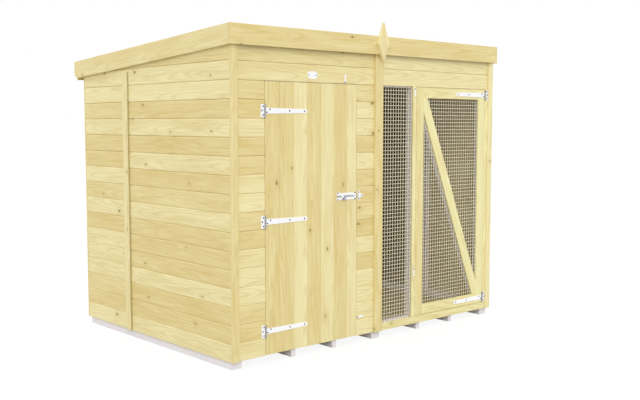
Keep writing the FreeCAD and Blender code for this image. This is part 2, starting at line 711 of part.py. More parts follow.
# Kennel door: tongue and groove boards on three ledges with braces
BOARD_DEPTH = "(board_thickness - stop_play)"
BOARD_WIDTH = "(door_board_cover - tongue_play)"
THIRD = "(%s / 3)" % BOARD_DEPTH
TONGUE = [("door_board_groove", "0"), (BOARD_WIDTH + " - door_board_groove", "0"),
          (BOARD_WIDTH, "door_board_groove"), (BOARD_WIDTH, THIRD + " + tongue_play / 2"),
          (BOARD_WIDTH + " + door_tongue", THIRD + " + tongue_play / 2"),
          (BOARD_WIDTH + " + door_tongue", "2 * %s - tongue_play / 2" % THIRD),
          (BOARD_WIDTH, "2 * %s - tongue_play / 2" % THIRD), (BOARD_WIDTH, BOARD_DEPTH),
          ("0", BOARD_DEPTH), ("0", "2 * " + THIRD), ("door_tongue + tongue_play", "2 * " + THIRD),
          ("door_tongue + tongue_play", THIRD), ("0", THIRD), ("0", "door_board_groove")]
DOOR_RISE = "(%s - 2 * door_gap)" % HEAD
boards = new_body("kennel_door_boards", KENNEL_DOOR_LEFT, "0", "door_gap")
board = pad(boards, outline(boards, "XY", TONGUE), DOOR_RISE)
repeat(boards, board, "H_Axis", "door_board_cover", "ceil(kennel_door_width / door_board_cover)")
spare = "kennel_door_width + 2 * door_board_cover"
trim(boards, rectangle(boards, "XZ", ("kennel_door_width", spare), ("-cut_past", DOOR_RISE + " + cut_past")))
node("kennel_door_boards", boards)

ledge_x = (KENNEL_STUD_LEFT + " + ledge_play", KENNEL_STUD_RIGHT + " - ledge_play")
ledge_y = (BOARD_DEPTH, BOARD_DEPTH + " + ledge_thickness")
kennel_hinge_z = ("kennel_hinge_low", "kennel_hinge_middle", "kennel_hinge_top")
ledges = []
for place in kennel_hinge_z:
    ledge_z = (place + " - ledge_width / 2", place + " + ledge_width / 2")
    ledges.append(bar("ledge_" + place, ledge_x, ledge_y, ledge_z))
for i in (0, 1):
    brace_z = (kennel_hinge_z[i] + " + ledge_width / 2", kennel_hinge_z[i + 1] + " - ledge_width / 2")
    ledges.append(brace("door_brace_%d" % i, ledge_x, ledge_y, brace_z, "ledge_width", rising=True))
node("kennel_door_ledges", *ledges)


# T-hinges: the strap's knuckle turns on a pin riveted into the two knuckles of the plate
def t_hinges(prefix, axis_x, face, hand, places):
    """Set of hinges on one door; hand is 1 when the straps run to the right."""
    straps, plates = [], []
    axis_y = "((%s) - knuckle_stand)" % face
    leaf_y = ("(%s) - strap_thickness" % face, face)
    half_root = "(strap_root / 2)"
    half_plate = "(hinge_plate_height / 2)"

    def side(a, b):
        ends = ["(%s) + %d * (%s)" % (axis_x, hand, a), "(%s) + %d * (%s)" % (axis_x, hand, b)]
        return tuple(ends) if hand > 0 else tuple(reversed(ends))

    for i, z in enumerate(places):
        label = "%s_%d" % (prefix, i)
        hole = rod(label + "_hole", "pin_radius + pin_play", "hinge_plate_height + 2 * cut_past",
                   axis_x, axis_y, "(%s) - %s - cut_past" % (z, half_plate))
        leaf = new_body(label + "_leaf", axis_x, face, z)
        foot = "(%s - knuckle_play)" % half_root
        points = [("0", "-" + foot), ("strap_length", "-strap_tip / 2"), ("strap_length", "strap_tip / 2"),
                  ("0", foot)]
        if hand < 0:
            points = [("-(%s)" % u, v) for u, v in reversed(points)]
        pad(leaf, outline(leaf, "XZ", points), "strap_thickness")
        reach = amount("strap_length") - 1
        round_corners(leaf, "strap_tip * 0.45",
                      lambda edge: abs(edge.CenterOfMass.x) > reach and edge.BoundBox.YLength > 1
                      and edge.BoundBox.ZLength < 0.1)
        curl = "(%s - 2 * knuckle_play)" % half_root
        knuckle = rod(label + "_knuckle", "knuckle_radius", "2 * " + curl, axis_x, axis_y,
                      "(%s) - %s" % (z, curl))
        straps.append(bore(label + "_strap", fuse(label + "_strap_blank", [leaf, knuckle]), hole))
        back = side("-knuckle_stand - hinge_plate_width", "-knuckle_stand")
        plate_z = ("(%s) - %s" % (z, half_plate), "(%s) + %s" % (z, half_plate))
        blank = [bar(label + "_plate", back, leaf_y, plate_z)]
        for end, low, high in (("low", "-" + half_plate, "-" + half_root), ("top", half_root, half_plate)):
            ear_z = ("(%s) + (%s)" % (z, low), "(%s) + (%s)" % (z, high))
            blank.append(bar("%s_ear_%s" % (label, end), side("-knuckle_stand", "0"), leaf_y, ear_z))
            blank.append(rod("%s_knuckle_%s" % (label, end), "knuckle_radius", "(%s) - (%s)" % (high, low),
                             axis_x, axis_y, ear_z[0]))
        blank.append(rod(label + "_pin", "pin_radius", "hinge_plate_height", axis_x, axis_y,
                         "(%s) - %s" % (z, half_plate)))
        plates.append(fuse(label + "_plate_whole", blank))
    node(prefix + "_straps", *straps)
    node(prefix + "_plates", *plates)


t_hinges("kennel_hinge", KENNEL_OPEN_LEFT + " + door_gap / 2", "0", 1, kennel_hinge_z)
t_hinges("run_hinge", RUN_DOOR_RIGHT + " + door_gap / 2", FACE_FRONT, -1,
         ("run_hinge_low", RUN_DOOR_TOP + " - run_hinge_inset"))

# Pad bolt on the kennel door, drawn back, with its keep on the boards beside the door
PLATE_RIGHT = "(%s - bolt_setback)" % KENNEL_DOOR_RIGHT
PLATE_LEFT = "(%s - bolt_plate_length)" % PLATE_RIGHT
plate_y = ("-bolt_plate_thickness", "0")
BOLT_HOLE = "(bolt_radius + bolt_play)"
GUIDE_HALF = "(bolt_radius + bolt_play + guide_wall)"
guide_y = ("-bolt_stand - %s" % GUIDE_HALF, "-bolt_plate_thickness")
guide_z = ("bolt_height - %s" % GUIDE_HALF, "bolt_height + %s" % GUIDE_HALF)
LOBE_AT = "(%s + lobe_radius)" % PLATE_LEFT
blank = [bar("bolt_plate_flat", (LOBE_AT, PLATE_RIGHT), plate_y,
             ("bolt_height - bolt_plate_height / 2", "bolt_height + bolt_plate_height / 2"))]
for i, sign in enumerate("+-"):
    blank.append(rod("bolt_lobe_%d" % i, "lobe_radius", "bolt_plate_thickness", LOBE_AT, plate_y[0],
                     "bolt_height %s lobe_spread" % sign, "y"))
GUIDE_FAR = "(%s + 2 * lobe_radius + guide_inset)" % PLATE_LEFT
GUIDE_NEAR = "(%s - guide_inset - guide_length)" % PLATE_RIGHT
for i, place in enumerate((GUIDE_FAR, GUIDE_NEAR)):
    blank.append(bar("bolt_guide_%d" % i, (place, place + " + guide_length"), guide_y, guide_z))
way = rod("bolt_way", BOLT_HOLE, "bolt_plate_length", PLATE_LEFT, "-bolt_stand", "bolt_height", "x")
node("padbolt_plate", bore("bolt_plate_cut", fuse("bolt_plate_blank", blank), way))

BOLT_LEFT = "(%s - bolt_length)" % PLATE_RIGHT
HANDLE_AT = "(%s + guide_length + bolt_setback)" % GUIDE_FAR
shank = rod("bolt_shank", "bolt_radius", "bolt_length", BOLT_LEFT, "-bolt_stand", "bolt_height", "x")
handle = bar("bolt_handle", (HANDLE_AT, HANDLE_AT + " + handle_width"),
             ("-bolt_stand - handle_thickness / 2", "-bolt_stand + handle_thickness / 2"),
             ("bolt_height - handle_drop", "bolt_height"))
node("padbolt_bolt", fuse("bolt_whole", [shank, handle]))

KEEP_LEFT = "(%s + keep_gap)" % KENNEL_OPEN_RIGHT
KEEP_AT = "(%s + keep_radius)" % KEEP_LEFT
blank = [bar("keep_loop", (KEEP_LEFT, KEEP_LEFT + " + guide_length"), (guide_y[0], "0"), guide_z),
         bar("keep_flat", (KEEP_LEFT, KEEP_LEFT + " + 2 * keep_radius"), plate_y,
             ("bolt_height - keep_spread", "bolt_height + keep_spread")),
         bar("keep_tongue", (KEEP_LEFT, KEEP_AT + " + keep_reach"), plate_y,
             ("bolt_height - keep_radius", "bolt_height + keep_radius"))]
for i, (x, shift) in enumerate(((KEEP_AT, "+ keep_spread"), (KEEP_AT, "- keep_spread"),
                                (KEEP_AT + " + keep_reach", ""))):
    blank.append(rod("keep_lobe_%d" % i, "keep_radius", "bolt_plate_thickness", x, plate_y[0],
                     "bolt_height " + shift, "y"))
keep_way = rod("keep_way", BOLT_HOLE, "keep_reach", KEEP_LEFT + " - cut_past", "-bolt_stand",
               "bolt_height", "x")
node("padbolt_keep", bore("keep_cut", fuse("keep_blank", blank), keep_way))

# Turn buttons: each turns on a shouldered screw, clear of the door's face
screws = []


def turn_button(name, x, face, z, arm):
    """Button whose long arm points up, down or to the right from its screw."""
    long, short, half = "button_far", "button_near", "button_width / 2"
    back = "((%s) - button_play)" % face
    front = "(%s - button_thickness)" % back
    across = ("(%s) - %s" % (x, half), "(%s) + %s" % (x, half))
    reach = {"up": (across, ("(%s) - %s" % (z, short), "(%s) + %s" % (z, long))),
             "down": (across, ("(%s) - %s" % (z, long), "(%s) + %s" % (z, short))),
             "right": (("(%s) - %s" % (x, short), "(%s) + %s" % (x, long)),
                       ("(%s) - %s" % (z, half), "(%s) + %s" % (z, half)))}[arm]
    blade = bar(name + "_blade", reach[0], (front, back), reach[1])
    hole = rod(name + "_hole", "button_screw + button_screw_play", "2 * button_thickness", x,
               front + " - cut_past", z, "y")
    node(name, bore(name + "_cut", blade, hole))
    neck = front + " - button_play"
    shank = rod(name + "_shank", "button_screw", "(%s) - %s" % (face, neck), x, neck, z, "y")
    head = rod(name + "_head", "button_head", "button_head_height", x,
               neck + " - button_head_height", z, "y")
    screws.append(fuse(name + "_screw", [shank, head]))


turn_button("kennel_button_top", KENNEL_DOOR_RIGHT + " - kennel_button_side", "0",
            HEAD + " + button_edge", "up")
turn_button("kennel_button_low", KENNEL_OPEN_RIGHT + " + button_edge", "0", "kennel_button_low", "right")
post_middle = "(%s - post_width / 2)" % POST_RIGHT
turn_button("run_button_top", post_middle, FACE_FRONT, HEAD + " - run_button_drop", "down")
turn_button("run_button_low", post_middle, FACE_FRONT, "run_button_low", "down")
node("button_screws", *screws)

doc.recompute()
for thing in doc.Objects:
    if "Invalid" in thing.State or "Error" in thing.State:
        raise RuntimeError("%s did not build: %s" % (thing.Label, thing.State))
os.makedirs("parts", exist_ok=True)
for thing in nodes:
    if thing.Shape.isNull() or not thing.Shape.isValid():
        raise RuntimeError("%s has no sound shape" % thing.Label)
    thing.Shape.exportStep("parts/%s.step" % thing.Label)
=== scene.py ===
import json
import math
import random

import bmesh
import bpy
from bpy.props import FloatProperty, FloatVectorProperty, IntProperty, PointerProperty
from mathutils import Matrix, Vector, noise


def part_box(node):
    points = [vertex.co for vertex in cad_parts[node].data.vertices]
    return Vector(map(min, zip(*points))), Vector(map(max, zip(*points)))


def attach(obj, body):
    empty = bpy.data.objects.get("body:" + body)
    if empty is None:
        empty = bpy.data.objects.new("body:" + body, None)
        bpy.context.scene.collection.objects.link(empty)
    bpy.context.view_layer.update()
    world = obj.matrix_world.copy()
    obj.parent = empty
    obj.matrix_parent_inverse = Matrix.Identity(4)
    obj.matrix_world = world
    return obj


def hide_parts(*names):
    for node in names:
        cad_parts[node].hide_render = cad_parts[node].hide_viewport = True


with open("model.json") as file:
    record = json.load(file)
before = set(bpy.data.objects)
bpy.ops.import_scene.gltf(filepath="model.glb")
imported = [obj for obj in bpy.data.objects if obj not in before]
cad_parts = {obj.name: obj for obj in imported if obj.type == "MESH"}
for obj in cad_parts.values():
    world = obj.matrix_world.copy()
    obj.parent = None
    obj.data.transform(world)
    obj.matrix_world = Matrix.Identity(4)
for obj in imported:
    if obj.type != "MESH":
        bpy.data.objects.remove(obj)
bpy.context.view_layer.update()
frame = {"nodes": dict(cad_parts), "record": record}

bl_info = {
    "name": "Dog kennel and run",
    "version": (1, 0, 0),
    "blender": (4, 5, 0),
    "location": "3D View > Sidebar > Kennel",
    "description": "Dresses a timber dog kennel with a mesh run in its boards, wire, felt and fittings",
    "category": "Object",
}

BEHAVIOUR = frame["record"]["behaviour"]
PINS = {joint["name"]: Vector(joint["pos_m"]) for joint in BEHAVIOUR["joints"]}
BODY_OF = {node: body for body, nodes in BEHAVIOUR["bodies"].items() for node in nodes}
AXES = (Vector((1, 0, 0)), Vector((0, 1, 0)), Vector((0, 0, 1)))


def linear(code):
    """Linear colour of an sRGB hex value."""
    channels = [int(code[i:i + 2], 16) / 255 for i in (1, 3, 5)]
    return tuple(c / 12.92 if c <= 0.04045 else ((c + 0.055) / 1.055) ** 2.4 for c in channels)


def colour(code, name, note):
    return FloatVectorProperty(name=name, description=note, default=linear(code), size=3,
                               min=0, max=1, subtype="COLOR")


def length(value, name, note):
    return FloatProperty(name=name, description=note, default=value, min=0, precision=4,
                         unit="LENGTH", subtype="DISTANCE")


def facing(angles, name, note):
    return FloatVectorProperty(name=name, description=note, default=angles, size=3,
                               unit="ROTATION", subtype="EULER")


def strength(value, name, note):
    return FloatProperty(name=name, description=note, default=value, min=0)


def count(value, least, name, note):
    return IntProperty(name=name, description=note, default=value, min=least)


class TimberFinish(bpy.types.PropertyGroup):
    board_pale: colour("#F4E9B4", "Pale board", "Sapwood of the palest boards")
    board_deep: colour("#DFC986", "Deep board", "Heartwood of the deepest boards")
    board_line: colour("#CFB46F", "Grain line", "Late wood in the growth rings")
    knot: colour("#94763C", "Knot", "Heart of a knot")
    # Painted shade: dark brown laid on inside faces and joint strips' edges, partly for sawn faces
    shaded_sawn_face: colour("#857541", "Shaded sawn face", "Sawn side of the boards, seen from within")
    run_pale: colour("#F5EFB6", "Pale run timber", "Sapwood of the run's door and boards")
    run_deep: colour("#E5CF8F", "Deep run timber", "Heartwood of the run's door and boards")
    framing_pale: colour("#F6F2F3", "Pale framing", "Sawn framing timber at its palest")
    framing_deep: colour("#E9E3E6", "Deep framing", "Sawn framing timber at its deepest")
    framing_line: colour("#CFC4C4", "Framing grain", "Growth rings of the framing timber")
    ring_width: length(0.007, "Ring width", "Distance from ring to ring")
    knot_run: length(0.45, "Knot run", "Length of board that holds one place for a knot")
    knot_row: length(0.11, "Knot row", "Width of board that holds one place for a knot")
    knot_size: length(0.016, "Knot size", "Radius of the largest knots")
    arris: length(0.0012, "Arris", "Rounding of the boards' edges")
    # Painted shade inside the right wall's front boards: none at the front, full at this depth
    shade_reach: length(0.8, "Shade reach", "Depth from the front at which sawn sides are no longer bleached")
    course: length(0.111, "Course", "Height that each shiplap board covers")


class MetalFinish(bpy.types.PropertyGroup):
    zinc: colour("#FEFEFF", "Zinc", "Bright zinc plate of hinges, bolt and buttons")
    wire: colour("#F6EED2", "Wire", "Galvanised wire")
    bolt: colour("#B4B2BC", "Bolt", "Drawn steel of the sliding bolt")
    screw: colour("#4E4856", "Screw", "Passivated screws")
    edge: length(0.0004, "Edge", "Rounding of pressed metal edges")
    knuckle: length(0.0045, "Knuckle", "Radius of the hinges' rolled knuckles")
    screw_radius: length(0.0048, "Screw radius", "Head of a hinge screw")
    plate_width: length(0.083, "Plate width", "Width of the oval plate")
    plate_height: length(0.048, "Plate height", "Height of the oval plate")
    plate_inset: length(0.626, "Plate inset", "Plate's centre from the left end of its boards")
    plate_rise: length(0.045, "Plate rise", "Plate's centre above the foot of its boards")
    wire_gauge: length(0.0036, "Wire gauge", "Diameter of the wire with its coat of zinc")
    wire_sides: count(8, 5, "Wire sides", "Faces around a wire")


class RoofFinish(bpy.types.PropertyGroup):
    felt: colour("#4F5D4A", "Felt", "Green mineral felt")
    grit: colour("#7C8775", "Grit", "Pale grains in the felt")
    strips: count(3, 1, "Strips", "Strips of felt down the roof")
    lap: length(0.075, "Lap", "Cover of each strip over the next")
    nail_spacing: length(0.075, "Nail spacing", "Distance between clout nails")
    nail_radius: length(0.004, "Nail radius", "Head of a clout nail")
    nail_inset: length(0.025, "Nail inset", "Nails from the edge of a strip")
    ripple: length(0.0008, "Ripple", "Unevenness of the felt's face")
    rows: count(12, 2, "Rows", "Faces down one strip")
    columns: count(48, 2, "Columns", "Faces along one strip")


class StageSetting(bpy.types.PropertyGroup):
    floor: colour("#B4B4B4", "Floor", "Studio floor as the light finds it")
    floor_seen: colour("#575757", "Floor as seen", "Share of the floor's light that the eye sees")
    floor_lift: strength(0.91, "Floor lift", "Brightness that the eye adds to the floor")
    floor_reach: length(60, "Floor reach", "Floor on each side of the kennel")
    camera_place: FloatVectorProperty(
        name="Camera place", description="Eye point of the photograph", size=3,
        default=(-4.2906, -5.0994, 1.4582), unit="LENGTH", subtype="TRANSLATION")
    camera_turn: facing((1.48541, -0.00076, -0.73238), "Camera turn", "Viewing direction")
    lens: FloatProperty(name="Lens", description="Focal length", default=50.273, unit="CAMERA")
    sky: strength(1.1, "Sky", "Light from all round")
    lamp: strength(0.8, "Lamp", "Soft lamp from the front left")
    lamp_turn: facing((math.radians(60), 0, math.radians(-38)), "Lamp turn", "Way the lamp shines")
    lamp_spread: FloatProperty(name="Lamp spread", description="Width of the lamp in the sky",
                               default=math.radians(40), unit="ROTATION", subtype="ANGLE")


def add(tree, kind, inputs=None, **settings):
    """Add a node and give its outputs; an input is a value or the socket that feeds it."""
    node = tree.nodes.new(kind)
    for key, value in settings.items():
        setattr(node, key, value)
    for place, value in (inputs or {}).items():
        if isinstance(value, bpy.types.NodeSocket):
            tree.links.new(value, node.inputs[place])
        else:
            node.inputs[place].default_value = value
    return node.outputs


def opaque(rgb):
    return (*rgb, 1)


def empty_material(name):
    """New material and its tree, with no node in it."""
    made = bpy.data.materials.new(name)
    made.use_nodes = True
    made.node_tree.nodes.clear()
    return made, made.node_tree


# Figure of softwood; a rate is repeats in a metre along, across and through a board
KNOT_SCATTER = 0.8  # part of its patch in which a knot may lie
KNOT_STRETCH = (0.65, 1, 0)  # knots are longer along the board than across it
KNOT_TRACE = 0.0002  # radius at a place without a knot, so that no range is empty
KNOT_CORE = 0.3  # part of the radius that is dark throughout
KNOT_REACH = 3.5  # radii over which rings give way to a knot
KNOT_DEPTHS = (0.45, 0.95)  # darkness of the faintest and the strongest knots
KNOT_STAIN = 0.22  # strength of the stain round a knot
WANDER_RATE = (2, 9, 9)  # waves 500 mm long and 110 mm wide
WANDER = 0.028  # metres that rings stray in them
TAPER = 0.02  # metres that the trunk widens in one metre
SWELL = 0.009  # metres that rings move out round a knot
HALF_RING = 0.5
LATE_WOOD = (0.15, 0.5)  # part of a ring over which late wood darkens
FIBRE_RATE = (5, 90, 90)  # streaks 200 mm long and 11 mm wide
FIBRE_SHARE = 1.2
CLOUD_RATE = (2.2, 18, 18)  # patches 450 mm long and 55 mm wide
CLOUD_SHARE = 1.0
SHADE_MEAN = 1.1  # what streaks and patches add on the whole
RING_RELIEF = 0.5  # how far rings stand out beside fibres
FACE_DEPTH = 0.0006
GLOSS_SPREAD = 0.1


def knot_pattern(tree, grain, finish, share):
    """Darkness of the knots, and the halo round each. Every patch of board has one place for a
    knot, and this share of the places hold one."""
    patch = add(tree, "ShaderNodeVectorMath",
                {0: grain, 1: (1 / finish.knot_run, 1 / finish.knot_row, 0)},
                operation="MULTIPLY")[0]
    place = add(tree, "ShaderNodeTexVoronoi",
                {"Vector": patch, "Scale": 1, "Randomness": KNOT_SCATTER},
                voronoi_dimensions="2D")
    centre = add(tree, "ShaderNodeVectorMath",
                 {0: place["Position"], 1: (finish.knot_run, finish.knot_row, 0)},
                 operation="MULTIPLY")[0]
    offset = add(tree, "ShaderNodeVectorMath", {0: grain, 1: centre}, operation="SUBTRACT")[0]
    oval = add(tree, "ShaderNodeVectorMath", {0: offset, 1: KNOT_STRETCH}, operation="MULTIPLY")[0]
    away = add(tree, "ShaderNodeVectorMath", {0: oval}, operation="LENGTH")["Value"]
    holds, large, dark = add(tree, "ShaderNodeSeparateColor", {0: place["Color"]})
    here = add(tree, "ShaderNodeMath", {0: holds, 1: 1 - share}, operation="GREATER_THAN")[0]
    size = add(tree, "ShaderNodeMapRange",
               {"Value": large, "To Min": finish.knot_size / 2,
                "To Max": finish.knot_size})[0]
    radius = add(tree, "ShaderNodeMath", {0: here, 1: size, 2: KNOT_TRACE}, operation="MULTIPLY_ADD")[0]
    core, reach = [add(tree, "ShaderNodeMath", {0: radius, 1: part}, operation="MULTIPLY")[0]
                   for part in (KNOT_CORE, KNOT_REACH)]
    heart, halo = [add(tree, "ShaderNodeMapRange",
                       {"Value": away, "From Min": outer, "From Max": within},
                       interpolation_type="SMOOTHSTEP")[0]
                   for outer, within in ((radius, core), (reach, radius))]
    depth = add(tree, "ShaderNodeMapRange",
                {"Value": dark, "To Min": KNOT_DEPTHS[0], "To Max": KNOT_DEPTHS[1]})[0]
    return add(tree, "ShaderNodeMath", {0: heart, 1: depth}, operation="MULTIPLY")[0], halo


def ring_pattern(tree, grain, halo, finish):
    """Late wood of the rings: they stray, widen with the trunk and move out round each knot.
    Real rings are mostly 2 to 4 mm apart; they are drawn wider so that they show."""
    slow = add(tree, "ShaderNodeVectorMath", {0: grain, 1: WANDER_RATE}, operation="MULTIPLY")[0]
    stray = add(tree, "ShaderNodeTexNoise", {"Vector": slow, "Scale": 1, "Detail": 2})["Fac"]
    along = add(tree, "ShaderNodeSeparateXYZ", {0: grain})[0]
    across = add(tree, "ShaderNodeVectorMath", {0: grain, 1: (0, 1, 1)}, operation="MULTIPLY")[0]
    radius = add(tree, "ShaderNodeVectorMath", {0: across}, operation="LENGTH")["Value"]
    for part, size in ((along, TAPER), (stray, WANDER), (halo, SWELL)):
        radius = add(tree, "ShaderNodeMath", {0: part, 1: size, 2: radius}, operation="MULTIPLY_ADD")[0]
    phase = add(tree, "ShaderNodeMath", {0: radius, 1: finish.ring_width}, operation="DIVIDE")[0]
    wave = add(tree, "ShaderNodeMath", {0: phase, 1: HALF_RING}, operation="PINGPONG")[0]
    return add(tree, "ShaderNodeMapRange",
               {"Value": wave, "From Min": LATE_WOOD[0], "From Max": LATE_WOOD[1]},
               interpolation_type="SMOOTHSTEP")[0]


def softwood(name, finish, pale, deep, line, lines, knots, roughness):
    """Timber cut from a log: rings about a pith beside the board, fibres along it, knots.
    The figures say how strong the ring lines are and how many places hold a knot."""
    made, tree = empty_material(name)
    grain = add(tree, "ShaderNodeAttribute", attribute_name="grain")["Vector"]
    spots, halo = knot_pattern(tree, grain, finish, knots)
    late = ring_pattern(tree, grain, halo, finish)

    # Fibres are finer in life; in streaks 11 mm wide they still show from across a garden
    fine = add(tree, "ShaderNodeVectorMath", {0: grain, 1: FIBRE_RATE}, operation="MULTIPLY")[0]
    fibre = add(tree, "ShaderNodeTexNoise",
                {"Vector": fine, "Scale": 1, "Detail": 4, "Roughness": 0.6})["Fac"]
    broad = add(tree, "ShaderNodeVectorMath", {0: grain, 1: CLOUD_RATE}, operation="MULTIPLY")[0]
    cloud = add(tree, "ShaderNodeTexNoise", {"Vector": broad, "Scale": 1, "Detail": 2})["Fac"]
    shade = add(tree, "ShaderNodeAttribute", attribute_name="tone")["Fac"]
    for part, share in ((cloud, CLOUD_SHARE), (fibre, FIBRE_SHARE)):
        shade = add(tree, "ShaderNodeMath", {0: part, 1: share, 2: shade}, operation="MULTIPLY_ADD")[0]
    shade = add(tree, "ShaderNodeMath", {0: shade, 1: SHADE_MEAN}, operation="SUBTRACT",
                use_clamp=True)[0]

    # From the ground up: ring lines, the stain and heart of knots, and painted shade on sawn sides
    ringed = add(tree, "ShaderNodeMath", {0: late, 1: lines}, operation="MULTIPLY")[0]
    stain = add(tree, "ShaderNodeMath", {0: halo, 1: KNOT_STAIN}, operation="MULTIPLY")[0]
    # Painted shade: inside faces and strip edges darken towards the shaded sawn face colour
    inner = add(tree, "ShaderNodeAttribute", attribute_name="inner")["Fac"]
    sawn_and_shade_share = add(tree, "ShaderNodeMath", {0: inner, 1: inner}, operation="MULTIPLY")[0]
    face = opaque(deep)
    for share, tint in ((shade, pale), (ringed, line), (stain, line), (spots, finish.knot),
                        (sawn_and_shade_share, finish.shaded_sawn_face)):
        face = add(tree, "ShaderNodeMix", {"Factor": share, "A": face, "B": opaque(tint)},
                   data_type="RGBA")["Result"]

    relief = add(tree, "ShaderNodeMath", {0: late, 1: RING_RELIEF, 2: fibre},
                 operation="MULTIPLY_ADD")[0]
    bump = add(tree, "ShaderNodeBump", {"Height": relief, "Strength": 0.25, "Distance": FACE_DEPTH})[0]
    gloss = add(tree, "ShaderNodeMapRange",
                {"Value": fibre, "To Min": roughness - GLOSS_SPREAD,
                 "To Max": roughness + GLOSS_SPREAD})[0]
    skin = add(tree, "ShaderNodeBsdfPrincipled",
               {"Base Color": face, "Roughness": gloss, "Normal": bump, "Specular IOR Level": 0.3})[0]
    add(tree, "ShaderNodeOutputMaterial", {0: skin})
    return made


def board_softwood(name, finish, lines, knots):
    return softwood(name, finish, finish.board_pale, finish.board_deep, finish.board_line,
                    lines=lines, knots=knots, roughness=0.6)


# Plated steel: flakes in each cloud, tint of dull flakes and of the painted shade on knuckles, spread
# of the gloss
FLAKES = 1.5
DULL_FLAKE = 0.95
KNUCKLE_SHADE_TINT = 0.4
SMOOTHER, ROUGHER = 0.08, 0.12


def plated(name, tint, roughness, clouds, depth, metal=1.0):
    """Plated or galvanised steel: soft clouds in the gloss, faint spangle in the colour, painted shade
    on a hinge's knuckle. The clouds' size and the depth of their bump are in metres."""
    made, tree = empty_material(name)
    place = add(tree, "ShaderNodeTexCoord")["Object"]
    cloud = add(tree, "ShaderNodeTexNoise", {"Vector": place, "Scale": 1 / clouds, "Detail": 3})["Fac"]
    flake = add(tree, "ShaderNodeTexVoronoi", {"Vector": place, "Scale": FLAKES / clouds})["Color"]
    # Painted shade on the knuckle faces, towards a darker tint
    knuckle_shade = add(tree, "ShaderNodeAttribute", attribute_name="knuckle_shade")["Fac"]
    dull, shaded_tint = [opaque([c * share for c in tint]) for share in (DULL_FLAKE, KNUCKLE_SHADE_TINT)]
    face = dull
    for share, top in ((flake, opaque(tint)), (knuckle_shade, shaded_tint)):
        face = add(tree, "ShaderNodeMix", {"Factor": share, "A": face, "B": top},
                   data_type="RGBA")["Result"]
    gloss = add(tree, "ShaderNodeMapRange",
                {"Value": cloud, "To Min": roughness - SMOOTHER,
                 "To Max": roughness + ROUGHER})[0]
    bump = add(tree, "ShaderNodeBump", {"Height": cloud, "Strength": 0.2, "Distance": depth})[0]
    skin = add(tree, "ShaderNodeBsdfPrincipled",
               {"Base Color": face, "Metallic": metal, "Roughness": gloss, "Normal": bump})[0]
    add(tree, "ShaderNodeOutputMaterial", {0: skin})
    return made


# Mineral felt. Real grains are 1 mm wide; they are drawn 4 mm wide so that they show
GRAIN_WIDTH = 0.004
GRAIN_DEPTH = 0.001
WORN_PATCH = 0.3
WORN_SHARE = 0.5
GRIT_RANGE = (0.35, 1.3)


def mineral_felt(name, ground, grit):
    """Bitumen felt faced with slate grains: no gloss, speckled, rough to the touch."""
    made, tree = empty_material(name)
    place = add(tree, "ShaderNodeTexCoord")["Object"]
    grains = add(tree, "ShaderNodeTexVoronoi", {"Vector": place, "Scale": 1 / GRAIN_WIDTH})
    wear = add(tree, "ShaderNodeTexNoise",
               {"Vector": place, "Scale": 1 / WORN_PATCH, "Detail": 4})["Fac"]
    shade = add(tree, "ShaderNodeSeparateColor", {0: grains["Color"]})[0]
    mixed = add(tree, "ShaderNodeMath", {0: wear, 1: WORN_SHARE, 2: shade}, operation="MULTIPLY_ADD")[0]
    share = add(tree, "ShaderNodeMapRange",
                {"Value": mixed, "From Min": GRIT_RANGE[0], "From Max": GRIT_RANGE[1]})[0]
    face = add(tree, "ShaderNodeMix", {"Factor": share, "A": opaque(ground), "B": opaque(grit)},
               data_type="RGBA")["Result"]
    bump = add(tree, "ShaderNodeBump", {"Height": grains["Distance"], "Strength": 0.6,
                                        "Distance": GRAIN_DEPTH}, invert=True)[0]
    gloss = add(tree, "ShaderNodeMapRange", {"Value": shade, "To Min": 0.85, "To Max": 1.0})[0]
    skin = add(tree, "ShaderNodeBsdfPrincipled",
               {"Base Color": face, "Roughness": gloss, "Normal": bump})[0]
    add(tree, "ShaderNodeOutputMaterial", {0: skin})
    return made


MICRONS = 1e6  # in a metre; the CAD's points are matched to the nearest one
FLAT_ANGLE = 0.01  # radians up to which an edge is left out
SHARP_ANGLE = 0.6  # radians from which an edge is rounded
LEAST_EDGE = 3  # shortest edge that is rounded, in roundings
SPECK = 1e-6
# Degrees up to which faces shade as one
TIMBER_SMOOTH = 50
METAL_SMOOTH = 35
SHEET_SMOOTH = 25


def spread(points):
    """Lowest and highest corner of some points."""
    return (Vector([min(p[i] for p in points) for i in range(3)]),
            Vector([max(p[i] for p in points) for i in range(3)]))


def middle(points):
    low, high = spread(points)
    return (low + high) / 2


def solids_of(node):
    """The separate solids of a CAD node, each as points and faces."""
    mesh = frame["nodes"][node].data
    spots = [tuple(round(c * MICRONS) for c in v.co) for v in mesh.vertices]
    owner = list(range(len(mesh.polygons)))

    def root(i):
        while owner[i] != i:
            owner[i] = owner[owner[i]]
            i = owner[i]
        return i

    edges = {}
    for face in mesh.polygons:
        corners = [spots[i] for i in face.vertices]
        for pair in zip(corners, corners[1:] + corners[:1]):
            edges.setdefault(frozenset(pair), []).append(face.index)
    for faces in edges.values():
        if len(faces) == 2:
            owner[root(faces[0])] = root(faces[1])
    groups = {}
    for face in mesh.polygons:
        points, faces = groups.setdefault(root(face.index), ({}, []))
        faces.append([points.setdefault(spots[i], len(points)) for i in face.vertices])
    solids = [([Vector(p) / MICRONS for p in points], faces) for points, faces in groups.values()]
    return sorted(solids, key=lambda solid: tuple(round(c, 4) for c in middle(solid[0])))


